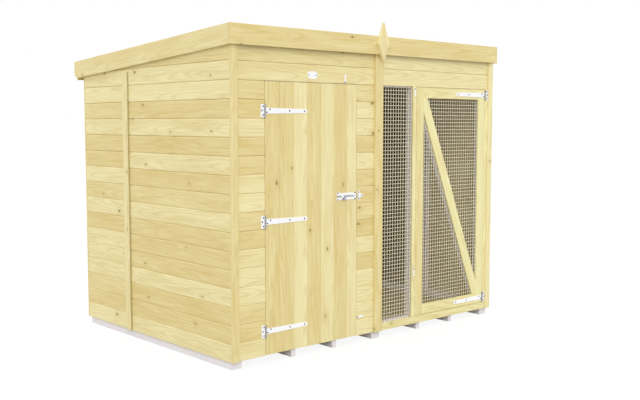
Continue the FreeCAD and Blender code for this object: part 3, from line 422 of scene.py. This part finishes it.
def eased(points, faces, arris):
    """A solid with its sharp outer edges rounded, and the direction of its longest edge."""
    shape = bmesh.new()
    corners = [shape.verts.new(p) for p in points]
    for face in faces:
        if len(set(face)) == len(face):
            shape.faces.new([corners[i] for i in face])
    bmesh.ops.recalc_face_normals(shape, faces=shape.faces)
    bmesh.ops.dissolve_limit(shape, angle_limit=FLAT_ANGLE, verts=shape.verts, edges=shape.edges)
    longest = max(shape.edges, key=lambda e: e.calc_length())
    run = (longest.verts[1].co - longest.verts[0].co).normalized()
    sharp = [e for e in shape.edges if len(e.link_faces) == 2 and e.is_convex
             and e.calc_face_angle(0) > SHARP_ANGLE and e.calc_length() > LEAST_EDGE * arris]
    bmesh.ops.bevel(shape, geom=sharp, offset=arris, segments=2, profile=0.5, affect="EDGES",
                    clamp_overlap=True)
    bmesh.ops.dissolve_degenerate(shape, dist=SPECK, edges=shape.edges)
    shape.verts.index_update()
    points = [v.co.copy() for v in shape.verts]
    faces = [[v.index for v in f.verts] for f in shape.faces]
    shape.free()
    return points, faces, run


def put(points, faces, spots, sides):
    """Add a solid to the points and faces of a piece."""
    base = len(points)
    points += spots
    faces += [[base + k for k in side] for side in sides]


def finished(name, points, faces, material, body, replaced=(), smooth=TIMBER_SMOOTH):
    """An object from points and faces, on its body, in place of the CAD nodes that it shows."""
    mesh = bpy.data.meshes.new(name)
    mesh.from_pydata([tuple(p) for p in points], [], faces)
    mesh.polygons.foreach_set("use_smooth", [True] * len(mesh.polygons))
    mesh.set_sharp_from_angle(angle=math.radians(smooth))
    mesh.materials.append(material)
    piece = bpy.data.objects.new(name, mesh)
    bpy.context.scene.collection.objects.link(piece)
    even = piece.modifiers.new("even_shading", "WEIGHTED_NORMAL")
    even.keep_sharp = True
    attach(piece, body)
    if replaced:
        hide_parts(*replaced)
    return piece


# Where a board lies in its log, in metres: along it, beside the pith and off it; then how far its
# tone may differ from the one that it is given
LOG_RUN = 40
LOG_SHIFT = 0.05
PITH_AWAY = (0.03, 0.13)
TONE_PLAY = 0.12


def board_axes(points, along):
    """Directions along a board, across its width and through its thickness."""
    if max(along, key=abs) < 0:
        along = -along
    away = min(AXES, key=lambda axis: abs(axis.dot(along)))
    side = along.cross(away).normalized()
    other = along.cross(side)
    widths = [max(p.dot(d) for p in points) - min(p.dot(d) for p in points) for d in (side, other)]
    if widths[0] < widths[1]:
        side, other = other, side
    return along, side, other


def timber(node, material, arris, tone, run=None, sawn=None):
    """Boards of a CAD node with eased edges; each is cut from its own place in a log.
    Where sawn is given, it says how far a corner of a face is darkened, by a sawn face and painted
    shade, from the face's normal, the corner and the direction across the board."""
    chance = random.Random(node)
    points, faces, grain, tones, widthwise = [], [], [], [], []
    for i, (spots, sides) in enumerate(solids_of(node)):
        spots, sides, longest = eased(spots, sides, arris)
        along, side, other = board_axes(spots, run or longest)
        centre = middle(spots)
        start = chance.uniform(0, LOG_RUN)
        shift = chance.uniform(-LOG_SHIFT, LOG_SHIFT)
        depth = chance.choice((-1, 1)) * chance.uniform(*PITH_AWAY)
        level = tone(centre, i) + chance.uniform(-TONE_PLAY, TONE_PLAY)
        put(points, faces, spots, sides)
        widthwise += [side] * len(sides)
        tones += [level] * len(spots)
        for p in spots:
            grain += [p.dot(along) + start, (p - centre).dot(side) + shift,
                      (p - centre).dot(other) + depth]
    piece = finished(node + "_timber", points, faces, material, BODY_OF[node], [node])
    traits = piece.data.attributes
    traits.new("grain", "FLOAT_VECTOR", "POINT").data.foreach_set("vector", grain)
    traits.new("tone", "FLOAT", "POINT").data.foreach_set("value", tones)
    # Painted shade: a share for each corner, partly for sawn faces
    if sawn:
        shares = [sawn(face.normal, piece.data.vertices[k].co, side)
                  for face, side in zip(piece.data.polygons, widthwise) for k in face.vertices]
        traits.new("inner", "FLOAT", "CORNER").data.foreach_set("value", shares)


# How strongly painted shade darkens sawn faces, and how squarely a face is turned to count as one
SAWN_BACK_AND_SHADE = 0.55
EDGE_SHADE = 0.75
SAWN_ALL_AND_SHADE = 0.65
BACKWARD = -0.5
EDGEWISE = 0.7


def sawn_back_and_shade(planed):
    """Sawn side turned from the planed one, with painted shade."""
    return lambda normal, corner, width: SAWN_BACK_AND_SHADE * (normal.dot(planed) < BACKWARD)


def back_shade_by_depth(planed, shade_reach):
    """Painted shade on the side turned from the planed one, deepening from the front towards the back.
    """
    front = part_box("kennel_left_boards")[0].y
    return lambda normal, corner, width: (normal.dot(planed) < BACKWARD) * (corner.y - front) / shade_reach


def painted_edge_shade(normal, corner, width):
    """Painted shade on the two narrow edges."""
    return EDGE_SHADE * (abs(normal.dot(width)) > EDGEWISE)


# Painted shade all over, partly for faces sawn all round
def sawn_all_and_shade(normal, corner, width):
    return SAWN_ALL_AND_SHADE


# Courses that are paler than the boards round them, counted from the ground
PALE_COURSES = {
    "left_front_boards": {1, 4, 8, 11, 13, 15, 16, 18},
    "left_back_boards": {1, 4, 5, 6, 8, 10, 13, 15, 16},
    "kennel_left_boards": {1, 4, 5, 6, 9, 10, 13},
    "kennel_right_boards": {1, 2, 3, 4, 6, 11, 13, 14},
}
MOST_COURSES = 40
# Tones run from 0 for heartwood to 1 for sapwood
PALE_TONE = 0.79
DEEP_TONE = 0.31
HEADER_TONES = {"kennel_header_boards": 0.62, "run_header_boards": 0.85}
STRIP_TONES = {"centre_strip": 0.54, "front_fascia": 0.32, "right_fascia": 0.32,
               "rear_fascia": 0.32, "left_fascia": 0.56}
LEFT_CORNER_TONE, RIGHT_CORNER_TONE = 0.34, 0.88
JOINT_TONE = 0.85
FINIAL_TONE = 0.85
RUN_BOARD_TONE = 0.82
DOOR_TONES = (0.34, 0.37, 0.87, 0.29, 0.83, 0.44, 0.81)
RUN_FRAME_TONES = (0.6, 0.65, 0.55, 0.95)
BRACE_TONE = 0.85
FRAMING_TONE = 0.5
DECK_TONE = 0.45


def course_tone(node, course, ground):
    """Tone of a shiplap board by the course that it lies in."""
    pale = PALE_COURSES.get(node)
    chance = random.Random(node + "_tone")
    mixed = [chance.uniform(DEEP_TONE, PALE_TONE) for i in range(MOST_COURSES)]

    def tone(centre, i):
        level = int((centre.z - ground) / course) + 1
        if pale is None:
            return mixed[level]
        return PALE_TONE if level in pale else DEEP_TONE
    return tone


def corner_tone(centre, i):
    return RIGHT_CORNER_TONE if centre.x > 0 else LEFT_CORNER_TONE


def steady(level):
    return lambda centre, i: level


def in_turn(levels):
    return lambda centre, i: levels[i % len(levels)]


SENSOR_WIDTH = 36  # mm
WHITE = (1, 1, 1, 1)


def sight(tree):
    """1 for rays that carry what the eye sees, straight, mirrored or through glass; 0 for light."""
    ray = add(tree, "ShaderNodeLightPath")
    seen = ray["Is Camera Ray"]
    for other in ("Is Glossy Ray", "Is Transmission Ray"):
        seen = add(tree, "ShaderNodeMath", {0: seen, 1: ray[other]}, operation="MAXIMUM")[0]
    return seen


def photo_camera(setting):
    """Camera at the photograph's eye point."""
    view = bpy.data.cameras.new("photo_camera")
    view.sensor_width = SENSOR_WIDTH
    view.lens = setting.lens
    camera = bpy.data.objects.new("photo_camera", view)
    camera.location = setting.camera_place
    camera.rotation_euler = setting.camera_turn
    return camera


def white_studio(setting):
    """World that is white to the eye and lights the kennel from all round."""
    world = bpy.data.worlds.new("white_studio")
    world.use_nodes = True
    tree = world.node_tree
    tree.nodes.clear()
    level = add(tree, "ShaderNodeMapRange",
                {"Value": sight(tree), "To Min": setting.sky, "To Max": 1.0})[0]
    sky = add(tree, "ShaderNodeBackground", {"Color": WHITE, "Strength": level})[0]
    add(tree, "ShaderNodeOutputWorld", {0: sky})
    return world


def soft_lamp(setting):
    """Wide soft lamp from the front left."""
    lamp = bpy.data.lights.new("soft_lamp", "SUN")
    lamp.energy = setting.lamp
    lamp.angle = setting.lamp_spread
    sun = bpy.data.objects.new("soft_lamp", lamp)
    sun.rotation_euler = setting.lamp_turn
    return sun


def studio_floor(setting):
    """Floor that keeps the kennel's shadow."""
    # Matt white paint: no gloss, soft shadows. Light and lift together come to just above white,
    # so that thin wires still show in front of it
    paint, tree = empty_material("matt_white_floor")
    eye = sight(tree)
    tint = add(tree, "ShaderNodeMix",
               {"Factor": eye, "A": opaque(setting.floor), "B": opaque(setting.floor_seen)},
               data_type="RGBA")["Result"]
    skin = add(tree, "ShaderNodeBsdfDiffuse", {"Color": tint})[0]
    lift = add(tree, "ShaderNodeMath", {0: eye, 1: setting.floor_lift}, operation="MULTIPLY")[0]
    glow = add(tree, "ShaderNodeEmission", {"Color": WHITE, "Strength": lift})[0]
    both = add(tree, "ShaderNodeAddShader", {0: skin, 1: glow})[0]
    add(tree, "ShaderNodeOutputMaterial", {0: both})
    half = setting.floor_reach
    mesh = bpy.data.meshes.new("studio_floor")
    mesh.from_pydata([(-half, -half, 0), (half, -half, 0), (half, half, 0), (-half, half, 0)], [],
                     [(0, 1, 2, 3)])
    mesh.materials.append(paint)
    return bpy.data.objects.new("studio_floor", mesh)


class KENNEL_OT_stage(bpy.types.Operator):
    """Set up the floor, the light and the camera"""
    bl_idname = "kennel.stage"
    bl_label = "Stage"

    def execute(self, context):
        scene = context.scene
        setting = scene.kennel_stage
        scene.view_settings.view_transform = "Standard"
        scene.world = white_studio(setting)
        camera, floor = photo_camera(setting), studio_floor(setting)
        for thing in (camera, soft_lamp(setting), floor):
            scene.collection.objects.link(thing)
        scene.camera = camera
        return {"FINISHED"}


# Side on which each wall's boards are planed; the partition's are sawn all round, with painted shade
FRONT, BACK, LEFT, RIGHT = -AXES[1], AXES[1], -AXES[0], AXES[0]
PLANED_SIDES = {
    "kennel_left_boards": FRONT, "kennel_right_boards": FRONT,
    "kennel_header_boards": FRONT, "run_header_boards": FRONT,
    "left_front_boards": LEFT, "left_back_boards": LEFT,
    "right_front_boards": RIGHT, "right_back_boards": RIGHT,
    "back_run_boards": BACK, "back_kennel_boards": BACK,
    "partition_boards": None,
}


class KENNEL_OT_cladding(bpy.types.Operator):
    """Clad the walls in shiplap"""
    bl_idname = "kennel.cladding"
    bl_label = "Shiplap walls"

    def execute(self, context):
        finish = context.scene.kennel_timber
        # Pressure-treated softwood, planed: straw yellow, quiet rings, small brown knots, low gloss
        wood = board_softwood("treated_softwood_shiplap", finish, lines=0.24, knots=0.24)
        # The same timber picked clear for the boards above the doors: hardly a knot
        clear = board_softwood("treated_softwood_clear_shiplap", finish, lines=0.24, knots=0.04)
        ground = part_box("left_front_boards")[0].z
        for node, planed in PLANED_SIDES.items():
            # The right wall's front boards get painted shade inside that deepens towards the back
            if node == "right_front_boards":
                sawn = back_shade_by_depth(planed, finish.shade_reach)
            else:
                sawn = sawn_back_and_shade(planed) if planed else sawn_all_and_shade
            if node in HEADER_TONES:
                boards, tone = clear, steady(HEADER_TONES[node])
            else:
                boards, tone = wood, course_tone(node, finish.course, ground)
            timber(node, boards, finish.arris, tone, sawn=sawn)
        return {"FINISHED"}


class KENNEL_OT_trim(bpy.types.Operator):
    """Cover the corners, joints and roof edge"""
    bl_idname = "kennel.trim"
    bl_label = "Strips, fascias and finial"

    def execute(self, context):
        finish = context.scene.kennel_timber
        # Pressure-treated softwood, planed on all sides: straw yellow, clear rings, some knots
        wood = board_softwood("treated_softwood_trim", finish, lines=0.26, knots=0.3)
        timber("corner_strips", wood, finish.arris, corner_tone)
        for node, tone in STRIP_TONES.items():
            timber(node, wood, finish.arris, steady(tone))
        # Painted shade along the joint strips' narrow edges
        timber("joint_strips", wood, finish.arris, steady(JOINT_TONE), sawn=painted_edge_shade)
        timber("finial", wood, finish.arris, steady(FINIAL_TONE), run=AXES[2])
        # The same timber cut from sapwood: paler and greener, with fewer knots
        sap = softwood("treated_sapwood_run", finish, finish.run_pale, finish.run_deep,
                       finish.board_line, lines=0.3, knots=0.2, roughness=0.6)
        for node in ("run_sill_board", "run_post_board", "run_jamb_board"):
            timber(node, sap, finish.arris, steady(RUN_BOARD_TONE))
        return {"FINISHED"}


class KENNEL_OT_framing(bpy.types.Operator):
    """Show the bearers, floors, wall frames and roof timbers as sawn timber"""
    bl_idname = "kennel.framing"
    bl_label = "Bearers, floors and frames"

    def execute(self, context):
        finish = context.scene.kennel_timber
        # Untreated spruce, sawn: pale, greyish, furry saw face with hardly any gloss
        wood = softwood("sawn_spruce_framing", finish, finish.framing_pale, finish.framing_deep,
                        finish.framing_line, lines=0.2, knots=0.2, roughness=0.8)
        for node in ("bearers_wide", "bearers_narrow", "kennel_front_frame", "run_front_frame",
                     "back_wall_frame", "left_wall_frame", "right_wall_frame", "partition_frame",
                     "rafters"):
            timber(node, wood, finish.arris, steady(FRAMING_TONE))
        boards = bpy.data.materials["treated_softwood_shiplap"]
        # Painted shade all over the floors and roof boards, partly for their sawn faces
        for node in ("kennel_floor", "run_floor", "roof_boards"):
            timber(node, boards, finish.arris, steady(DECK_TONE), sawn=sawn_all_and_shade)
        return {"FINISHED"}


class KENNEL_OT_doors(bpy.types.Operator):
    """Hang the boarded kennel door and the framed run door"""
    bl_idname = "kennel.doors"
    bl_label = "Doors"

    def execute(self, context):
        finish = context.scene.kennel_timber
        # Pressure-treated softwood, tongued and grooved: upright grain, boards in different tones
        wood = board_softwood("treated_softwood_door", finish, lines=0.28, knots=0.13)
        timber("kennel_door_boards", wood, finish.arris / 2, in_turn(DOOR_TONES))
        sap = bpy.data.materials["treated_sapwood_run"]
        timber("run_door_face_frame", sap, finish.arris, in_turn(RUN_FRAME_TONES))
        timber("run_door_brace", sap, finish.arris, steady(BRACE_TONE))
        sawn_timber = bpy.data.materials["sawn_spruce_framing"]
        for node in ("kennel_door_ledges", "run_door_inner_frame"):
            timber(node, sawn_timber, finish.arris, steady(FRAMING_TONE))
        return {"FINISHED"}


def circle(radius, angles):
    return [(radius * math.cos(a), radius * math.sin(a)) for a in angles]


def even_angles(sides):
    return [2 * math.pi * k / sides for k in range(sides)]


def stacked(points, faces, place, axes, rings):
    """Add rings with as many points each, joined and closed below; a ring is an outline and its
    height. Gives the last ring."""
    sides = len(rings[0][0])
    base = len(points)
    for outline, height in rings:
        points += [place + axes[0] * u + axes[1] * v + axes[2] * height for u, v in outline]
    faces.append([base + k for k in reversed(range(sides))])
    for level in range(len(rings) - 1):
        low = base + level * sides
        for k in range(sides):
            after = (k + 1) % sides
            faces.append([low + k, low + after, low + sides + after, low + sides + k])
    return [base + (len(rings) - 1) * sides + k for k in range(sides)]


class KENNEL_OT_weldmesh(bpy.types.Operator):
    """Lay the round wires of both mesh panels"""
    bl_idname = "kennel.weldmesh"
    bl_label = "Welded mesh"

    def execute(self, context):
        metal = context.scene.kennel_metal
        # Galvanised steel wire, weathered dull: pale, faint spangle, soft gloss along each wire
        steel = plated("galvanised_steel_wire", metal.wire, roughness=0.5, clouds=0.004,
                       depth=0.0001, metal=0.05)
        ring = circle(metal.wire_gauge / 2, even_angles(metal.wire_sides))
        for node in ("fixed_panel_mesh", "run_door_mesh"):
            points, faces = [], []
            for spots, _ in solids_of(node):
                low, high = spread(spots)
                size = high - low
                run = max(AXES, key=size.dot)
                half = run.dot(size) / 2
                side = run.orthogonal().normalized()
                faces.append(stacked(points, faces, (low + high) / 2, (side, run.cross(side), run),
                                     [(ring, -half), (ring, half)]))
            finished(node + "_wires", points, faces, steel, BODY_OF[node], [node])
        return {"FINISHED"}


def metal_piece(node, material, edge, pin=None, knuckle=0.0):
    """A CAD node in metal with its edges eased; the knuckles round its pin get painted shade."""
    points, faces = [], []
    for spots, sides in solids_of(node):
        put(points, faces, *eased(spots, sides, edge)[:2])
    piece = finished(node + "_metal", points, faces, material, BODY_OF[node],
                     [node], METAL_SMOOTH)
    if pin:
        # Painted shade on faces within the knuckle's radius of the pin
        knuckle_shade_mask = [float((face.center - pin).xy.length < knuckle) for face in piece.data.polygons]
        piece.data.attributes.new("knuckle_shade", "FLOAT", "FACE").data.foreach_set("value", knuckle_shade_mask)


class KENNEL_OT_hardware(bpy.types.Operator):
    """Fit the hinges, the pad bolt and the turn buttons"""
    bl_idname = "kennel.hardware"
    bl_label = "Hinges, bolt and buttons"

    def execute(self, context):
        metal = context.scene.kennel_metal
        # Pressed steel, bright zinc plated: nearly white, a blurred mirror with faint clouds
        zinc = plated("bright_zinc_plate", metal.zinc, roughness=0.32, clouds=0.012, depth=0.0001)
        for door in ("kennel", "run"):
            for leaf in ("straps", "plates"):
                metal_piece("%s_hinge_%s" % (door, leaf), zinc, metal.edge,
                            PINS[door + "_door_swing"], metal.knuckle)
        for node in ("padbolt_plate", "padbolt_keep", "kennel_button_top", "kennel_button_low",
                     "run_button_top", "run_button_low"):
            metal_piece(node, zinc, metal.edge)
        # Drawn steel bar, plated: greyer than the plates, a clear streak of light along it
        bar = plated("zinc_plated_drawn_bar", metal.bolt, roughness=0.25, clouds=0.008, depth=0.00005)
        metal_piece("padbolt_bolt", bar, metal.edge)
        return {"FINISHED"}


# Corners of a cross, anticlockwise from its right arm, in parts of its reach
ARM = 0.3
CROSS = ((1, -ARM), (1, ARM), (ARM, ARM), (ARM, 1), (-ARM, 1), (-ARM, ARM),
         (-1, ARM), (-1, -ARM), (-ARM, -ARM), (-ARM, -1), (ARM, -1), (ARM, -ARM))
CROSS_ANGLES = [math.atan2(v, u) for u, v in CROSS]
CROSS_FACES = ((2, 5, 8, 11), (11, 0, 1, 2), (2, 3, 4, 5), (5, 6, 7, 8), (8, 9, 10, 11))
# Screw head in parts of its radius: width and height of its rim and dome, then of its recess's
# mouth and floor
HEAD_HEIGHT = 0.5
HEAD_ROUNDS = ((1, 0.15), (0.82, 0.4))
HEAD_CROSSES = ((0.55, HEAD_HEIGHT), (0.45, 0.15))
SHANK = 0.53
SHANK_SIDES = 12
OUT_FRONT = (AXES[0], AXES[2], FRONT)
SUNK = 0.0002


def screw(points, faces, place, radius, turn, neck=0.0):
    """Add a domed screw head with a cross recess, facing the front; its neck holds it off the face."""
    angles = [a + turn for a in CROSS_ANGLES]
    cross = [(u * math.cos(turn) - v * math.sin(turn), u * math.sin(turn) + v * math.cos(turn))
             for u, v in CROSS]
    rings = [(circle(radius, angles), neck - SUNK)]
    rings += [(circle(radius * wide, angles), neck + radius * high) for wide, high in HEAD_ROUNDS]
    rings += [([(u * radius * wide, v * radius * wide) for u, v in cross], neck + radius * high)
              for wide, high in HEAD_CROSSES]
    last = stacked(points, faces, place, OUT_FRONT, rings)
    faces += [[last[k] for k in corners] for corners in CROSS_FACES]


# Places of the screws on each kind of plate: share of its length from the hinge or the left end,
# and of its height from the middle
STRAP_SCREWS = ((0.055, -0.25), (0.127, 0.25), (0.576, 0), (0.93, 0))
LEAF_SCREWS = ((0.49, 0.34), (0.27, 0.02), (0.49, -0.33))
BOLT_SCREWS = ((0.07, 0.36), (0.07, -0.36), (0.965, 0.36), (0.965, -0.36))
KEEP_SCREWS = ((0.21, 0.33), (0.21, -0.33), (0.79, 0))
STRAP_THICKNESS = 0.003
BOLT_THICKNESS = 0.0025
# For each node its screws, its thickness and whether it is hung the other way round
SCREWED = {
    "kennel_hinge_straps": (STRAP_SCREWS, STRAP_THICKNESS, False),
    "run_hinge_straps": (STRAP_SCREWS, STRAP_THICKNESS, True),
    "kennel_hinge_plates": (LEAF_SCREWS, STRAP_THICKNESS, False),
    "run_hinge_plates": (LEAF_SCREWS, STRAP_THICKNESS, True),
    "padbolt_plate": (BOLT_SCREWS, BOLT_THICKNESS, False),
    "padbolt_keep": (KEEP_SCREWS, BOLT_THICKNESS, False),
}
QUARTER = math.pi / 2


class KENNEL_OT_screws(bpy.types.Operator):
    """Drive the screws of the hinges, the bolt and the turn buttons"""
    bl_idname = "kennel.screws"
    bl_label = "Screws"

    def execute(self, context):
        metal = context.scene.kennel_metal
        # Hardened steel, dark passivated: grey with a violet cast, a dull gleam on the dome
        steel = plated("dark_passivated_screw_steel", metal.screw, roughness=0.4, clouds=0.003,
                       depth=0.00005)
        chance = random.Random("screws")
        for node, (places, thickness, mirrored) in SCREWED.items():
            points, faces = [], []
            for spots, _ in solids_of(node):
                low, high = spread(spots)
                for along, up in places:
                    along = 1 - along if mirrored else along
                    place = Vector((low.x + along * (high.x - low.x), high.y - thickness,
                                    (low.z + high.z) / 2 + up * (high.z - low.z)))
                    screw(points, faces, place, metal.screw_radius, chance.uniform(0, QUARTER))
            finished(node + "_screws", points, faces, steel, BODY_OF[node],
                     smooth=METAL_SMOOTH)
        points, faces = [], []
        for spots, _ in solids_of("button_screws"):
            low, high = spread(spots)
            radius = (high.x - low.x) / 2
            neck = high.y - low.y - radius * HEAD_HEIGHT
            foot = Vector(((low.x + high.x) / 2, high.y, (low.z + high.z) / 2))
            ring = circle(radius * SHANK, even_angles(SHANK_SIDES))
            faces.append(stacked(points, faces, foot, OUT_FRONT, [(ring, 0), (ring, neck)]))
            screw(points, faces, foot, radius, chance.uniform(0, QUARTER), neck)
        finished("button_screws_driven", points, faces, steel, "building",
                 ["button_screws"], METAL_SMOOTH)
        return {"FINISHED"}


# Pressed oval plate: its rolled edge, narrow bead and flat field, which lies a little lower; each
# ring is a share of the width and a height in metres
OVAL_POWER = 2.4
OVAL_SIDES = 64
FIELD_HEIGHT = 0.0011
PLATE_RINGS = ((1, 0), (1, 0.0009), (0.985, 0.0013), (0.96, 0.0016), (0.93, 0.0016),
               (0.91, 0.0013), (0.89, FIELD_HEIGHT), (0.5, FIELD_HEIGHT))
PLATE_SCREW_PLACE = 0.37
PLATE_SCREW_SIZE = 0.8
PLATE_SCREW_TURN = 0.3


def oval(width, height):
    """Outline of an oval that is a little squarer than an ellipse."""
    outline = []
    for a in even_angles(OVAL_SIDES):
        u, v = math.cos(a), math.sin(a)
        reach = (abs(u) ** OVAL_POWER + abs(v) ** OVAL_POWER) ** (-1 / OVAL_POWER)
        outline.append((reach * u * width / 2, reach * v * height / 2))
    return outline


class KENNEL_OT_plate(bpy.types.Operator):
    """Fix the blank oval plate above the kennel door"""
    bl_idname = "kennel.plate"
    bl_label = "Oval plate"

    def execute(self, context):
        metal = context.scene.kennel_metal
        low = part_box("kennel_header_boards")[0]
        centre = Vector((low.x + metal.plate_inset, low.y, low.z + metal.plate_rise))
        points, faces = [], []
        rings = [(oval(share * metal.plate_width, share * metal.plate_height), height)
                 for share, height in PLATE_RINGS]
        faces.append(stacked(points, faces, centre, OUT_FRONT, rings))
        zinc = bpy.data.materials["bright_zinc_plate"]
        finished("oval_plate", points, faces, zinc, "building", smooth=SHEET_SMOOTH)
        points, faces = [], []
        for side in (-1, 1):
            place = centre + Vector((side * metal.plate_width * PLATE_SCREW_PLACE, -FIELD_HEIGHT, 0))
            screw(points, faces, place, metal.screw_radius * PLATE_SCREW_SIZE, side * PLATE_SCREW_TURN)
        steel = bpy.data.materials["dark_passivated_screw_steel"]
        finished("oval_plate_screws", points, faces, steel, "building",
                 smooth=METAL_SMOOTH)
        return {"FINISHED"}


# Felt strips: laps over which one climbs on to the next, ripples in a metre along and down the roof
# and the step between strips, laps from a strip's top to its end nails
CLIMB = 0.6
RIPPLE_RATE = (4, 5)
RIPPLE_STEP = 7
END_NAILS = 1.2
# Clout nail: width of its rim and crown in radii, and their heights in metres
NAIL_RINGS = ((1, -SUNK), (1, 0.0005), (0.7, 0.001))
NAIL_SIDES = 10


def felt_levels(roof, thick, foot, number):
    """Heights of a strip's underside, which climbs on to the strip below it, and of its face, which
    has the slow ripple of felt that has lain in the sun."""
    lowest = number == roof.strips - 1

    def bed(x, s):
        climb = 0 if lowest else (s - foot + (1 + CLIMB) * roof.lap) / (CLIMB * roof.lap)
        return thick * min(1, max(0, climb))

    def face(x, s):
        spot = Vector((x * RIPPLE_RATE[0], s * RIPPLE_RATE[1], RIPPLE_STEP * number))
        return bed(x, s) + thick + roof.ripple * noise.noise(spot)
    return bed, face


def slab(points, faces, place, rows, columns, levels):
    """Add a sheet between two heights over a grid, closed round its rim."""
    base = len(points)
    for level in levels:
        points += [place(x, s, level(x, s)) for s in rows for x in columns]
    wide = len(columns)
    layer = wide * len(rows)
    foot, end = len(rows) - 1, wide - 1
    for r in range(foot):
        for c in range(end):
            corner = base + r * wide + c
            square = [corner, corner + 1, corner + wide + 1, corner + wide]
            faces.append(square[::-1])
            faces.append([layer + k for k in square])
    rim = ([r * wide for r in range(foot)] + [foot * wide + c for c in range(end)]
           + [r * wide + end for r in range(foot, 0, -1)] + list(range(end, 0, -1)))
    for a, b in zip(rim, rim[1:] + rim[:1]):
        faces.append([base + b, base + a, base + layer + a, base + layer + b])


class KENNEL_OT_felt(bpy.types.Operator):
    """Lay the roof felt"""
    bl_idname = "kennel.felt"
    bl_label = "Roof felt"

    def execute(self, context):
        roof = context.scene.kennel_roof
        # Bitumen felt with green slate grains: matt, speckled, patchy where grains have worn
        felt = mineral_felt("green_mineral_felt", roof.felt, roof.grit)
        spots = solids_of("roof_felt")[0][0]
        by_depth = sorted(spots, key=lambda p: p.y)
        start, end = [min(group, key=lambda p: (round(p.x, 4), p.z))
                      for group in (by_depth[:4], by_depth[4:])]
        across, down = AXES[0], (end - start).normalized()
        up = across.cross(down)
        run = (end - start).length
        width = max((p - start).x for p in spots)
        thick = max((p - start).dot(up) for p in spots)
        pitch = run / roof.strips
        columns = [width * k / roof.columns for k in range(roof.columns + 1)]
        head = [(circle(roof.nail_radius * wide, even_angles(NAIL_SIDES)), height)
                for wide, height in NAIL_RINGS]

        def on_roof(x, s, rise):
            return start + across * x + down * s + up * rise

        points, faces, nail_points, nail_faces = [], [], [], []
        for i in range(roof.strips):
            top = i * pitch
            foot = min(run, (i + 1) * pitch + roof.lap)
            rows = [top + (foot - top) * k / roof.rows for k in range(roof.rows + 1)]
            bed, face = felt_levels(roof, thick, foot, i)
            slab(points, faces, on_roof, rows, columns, (bed, face))
            # Clout nails along the foot of each strip and up both ends
            nails = int(width / roof.nail_spacing)
            places = [((k + 0.5) * width / nails, foot - roof.nail_inset) for k in range(nails)]
            nails = int((foot - top - 2 * roof.lap) / roof.nail_spacing)
            places += [(x, top + END_NAILS * roof.lap + k * roof.nail_spacing)
                       for k in range(nails) for x in (roof.nail_inset, width - roof.nail_inset)]
            for x, s in places:
                nail_faces.append(stacked(nail_points, nail_faces, on_roof(x, s, face(x, s)),
                                          (across, down, up), head))
        finished("roof_felt_strips", points, faces, felt, "building", ["roof_felt"])
        # Galvanised steel, as the wire: pale heads, dull, with a faint spangle
        steel = bpy.data.materials["galvanised_steel_wire"]
        finished("roof_felt_nails", nail_points, nail_faces, steel, "building",
                 smooth=METAL_SMOOTH)
        return {"FINISHED"}


class KENNEL_PT_pieces(bpy.types.Panel):
    bl_idname = "KENNEL_PT_pieces"
    bl_label = "Kennel and run"
    bl_space_type = "VIEW_3D"
    bl_region_type = "UI"
    bl_category = "Kennel"

    def draw(self, context):
        for group in SETTINGS:
            box = self.layout.box()
            setting = getattr(context.scene, group)
            for field in setting.bl_rna.properties:
                if field.identifier not in ("name", "rna_type"):
                    box.prop(setting, field.identifier)
        for step in STEPS:
            self.layout.operator(step.bl_idname)


SETTINGS = {"kennel_timber": TimberFinish, "kennel_metal": MetalFinish,
            "kennel_roof": RoofFinish, "kennel_stage": StageSetting}
STEPS = (KENNEL_OT_stage, KENNEL_OT_cladding, KENNEL_OT_trim, KENNEL_OT_framing, KENNEL_OT_doors,
         KENNEL_OT_weldmesh, KENNEL_OT_hardware, KENNEL_OT_screws, KENNEL_OT_plate, KENNEL_OT_felt)


def register():
    for kind in (*SETTINGS.values(), *STEPS, KENNEL_PT_pieces):
        bpy.utils.register_class(kind)
    for name, kind in SETTINGS.items():
        setattr(bpy.types.Scene, name, PointerProperty(type=kind))


def unregister():
    for name in SETTINGS:
        delattr(bpy.types.Scene, name)
    for kind in (KENNEL_PT_pieces, *reversed(STEPS), *SETTINGS.values()):
        bpy.utils.unregister_class(kind)


def main():
    register()
    for step in STEPS:
        group, action = step.bl_idname.split(".")
        getattr(getattr(bpy.ops, group), action)()


if __name__ == "__main__":
    main()
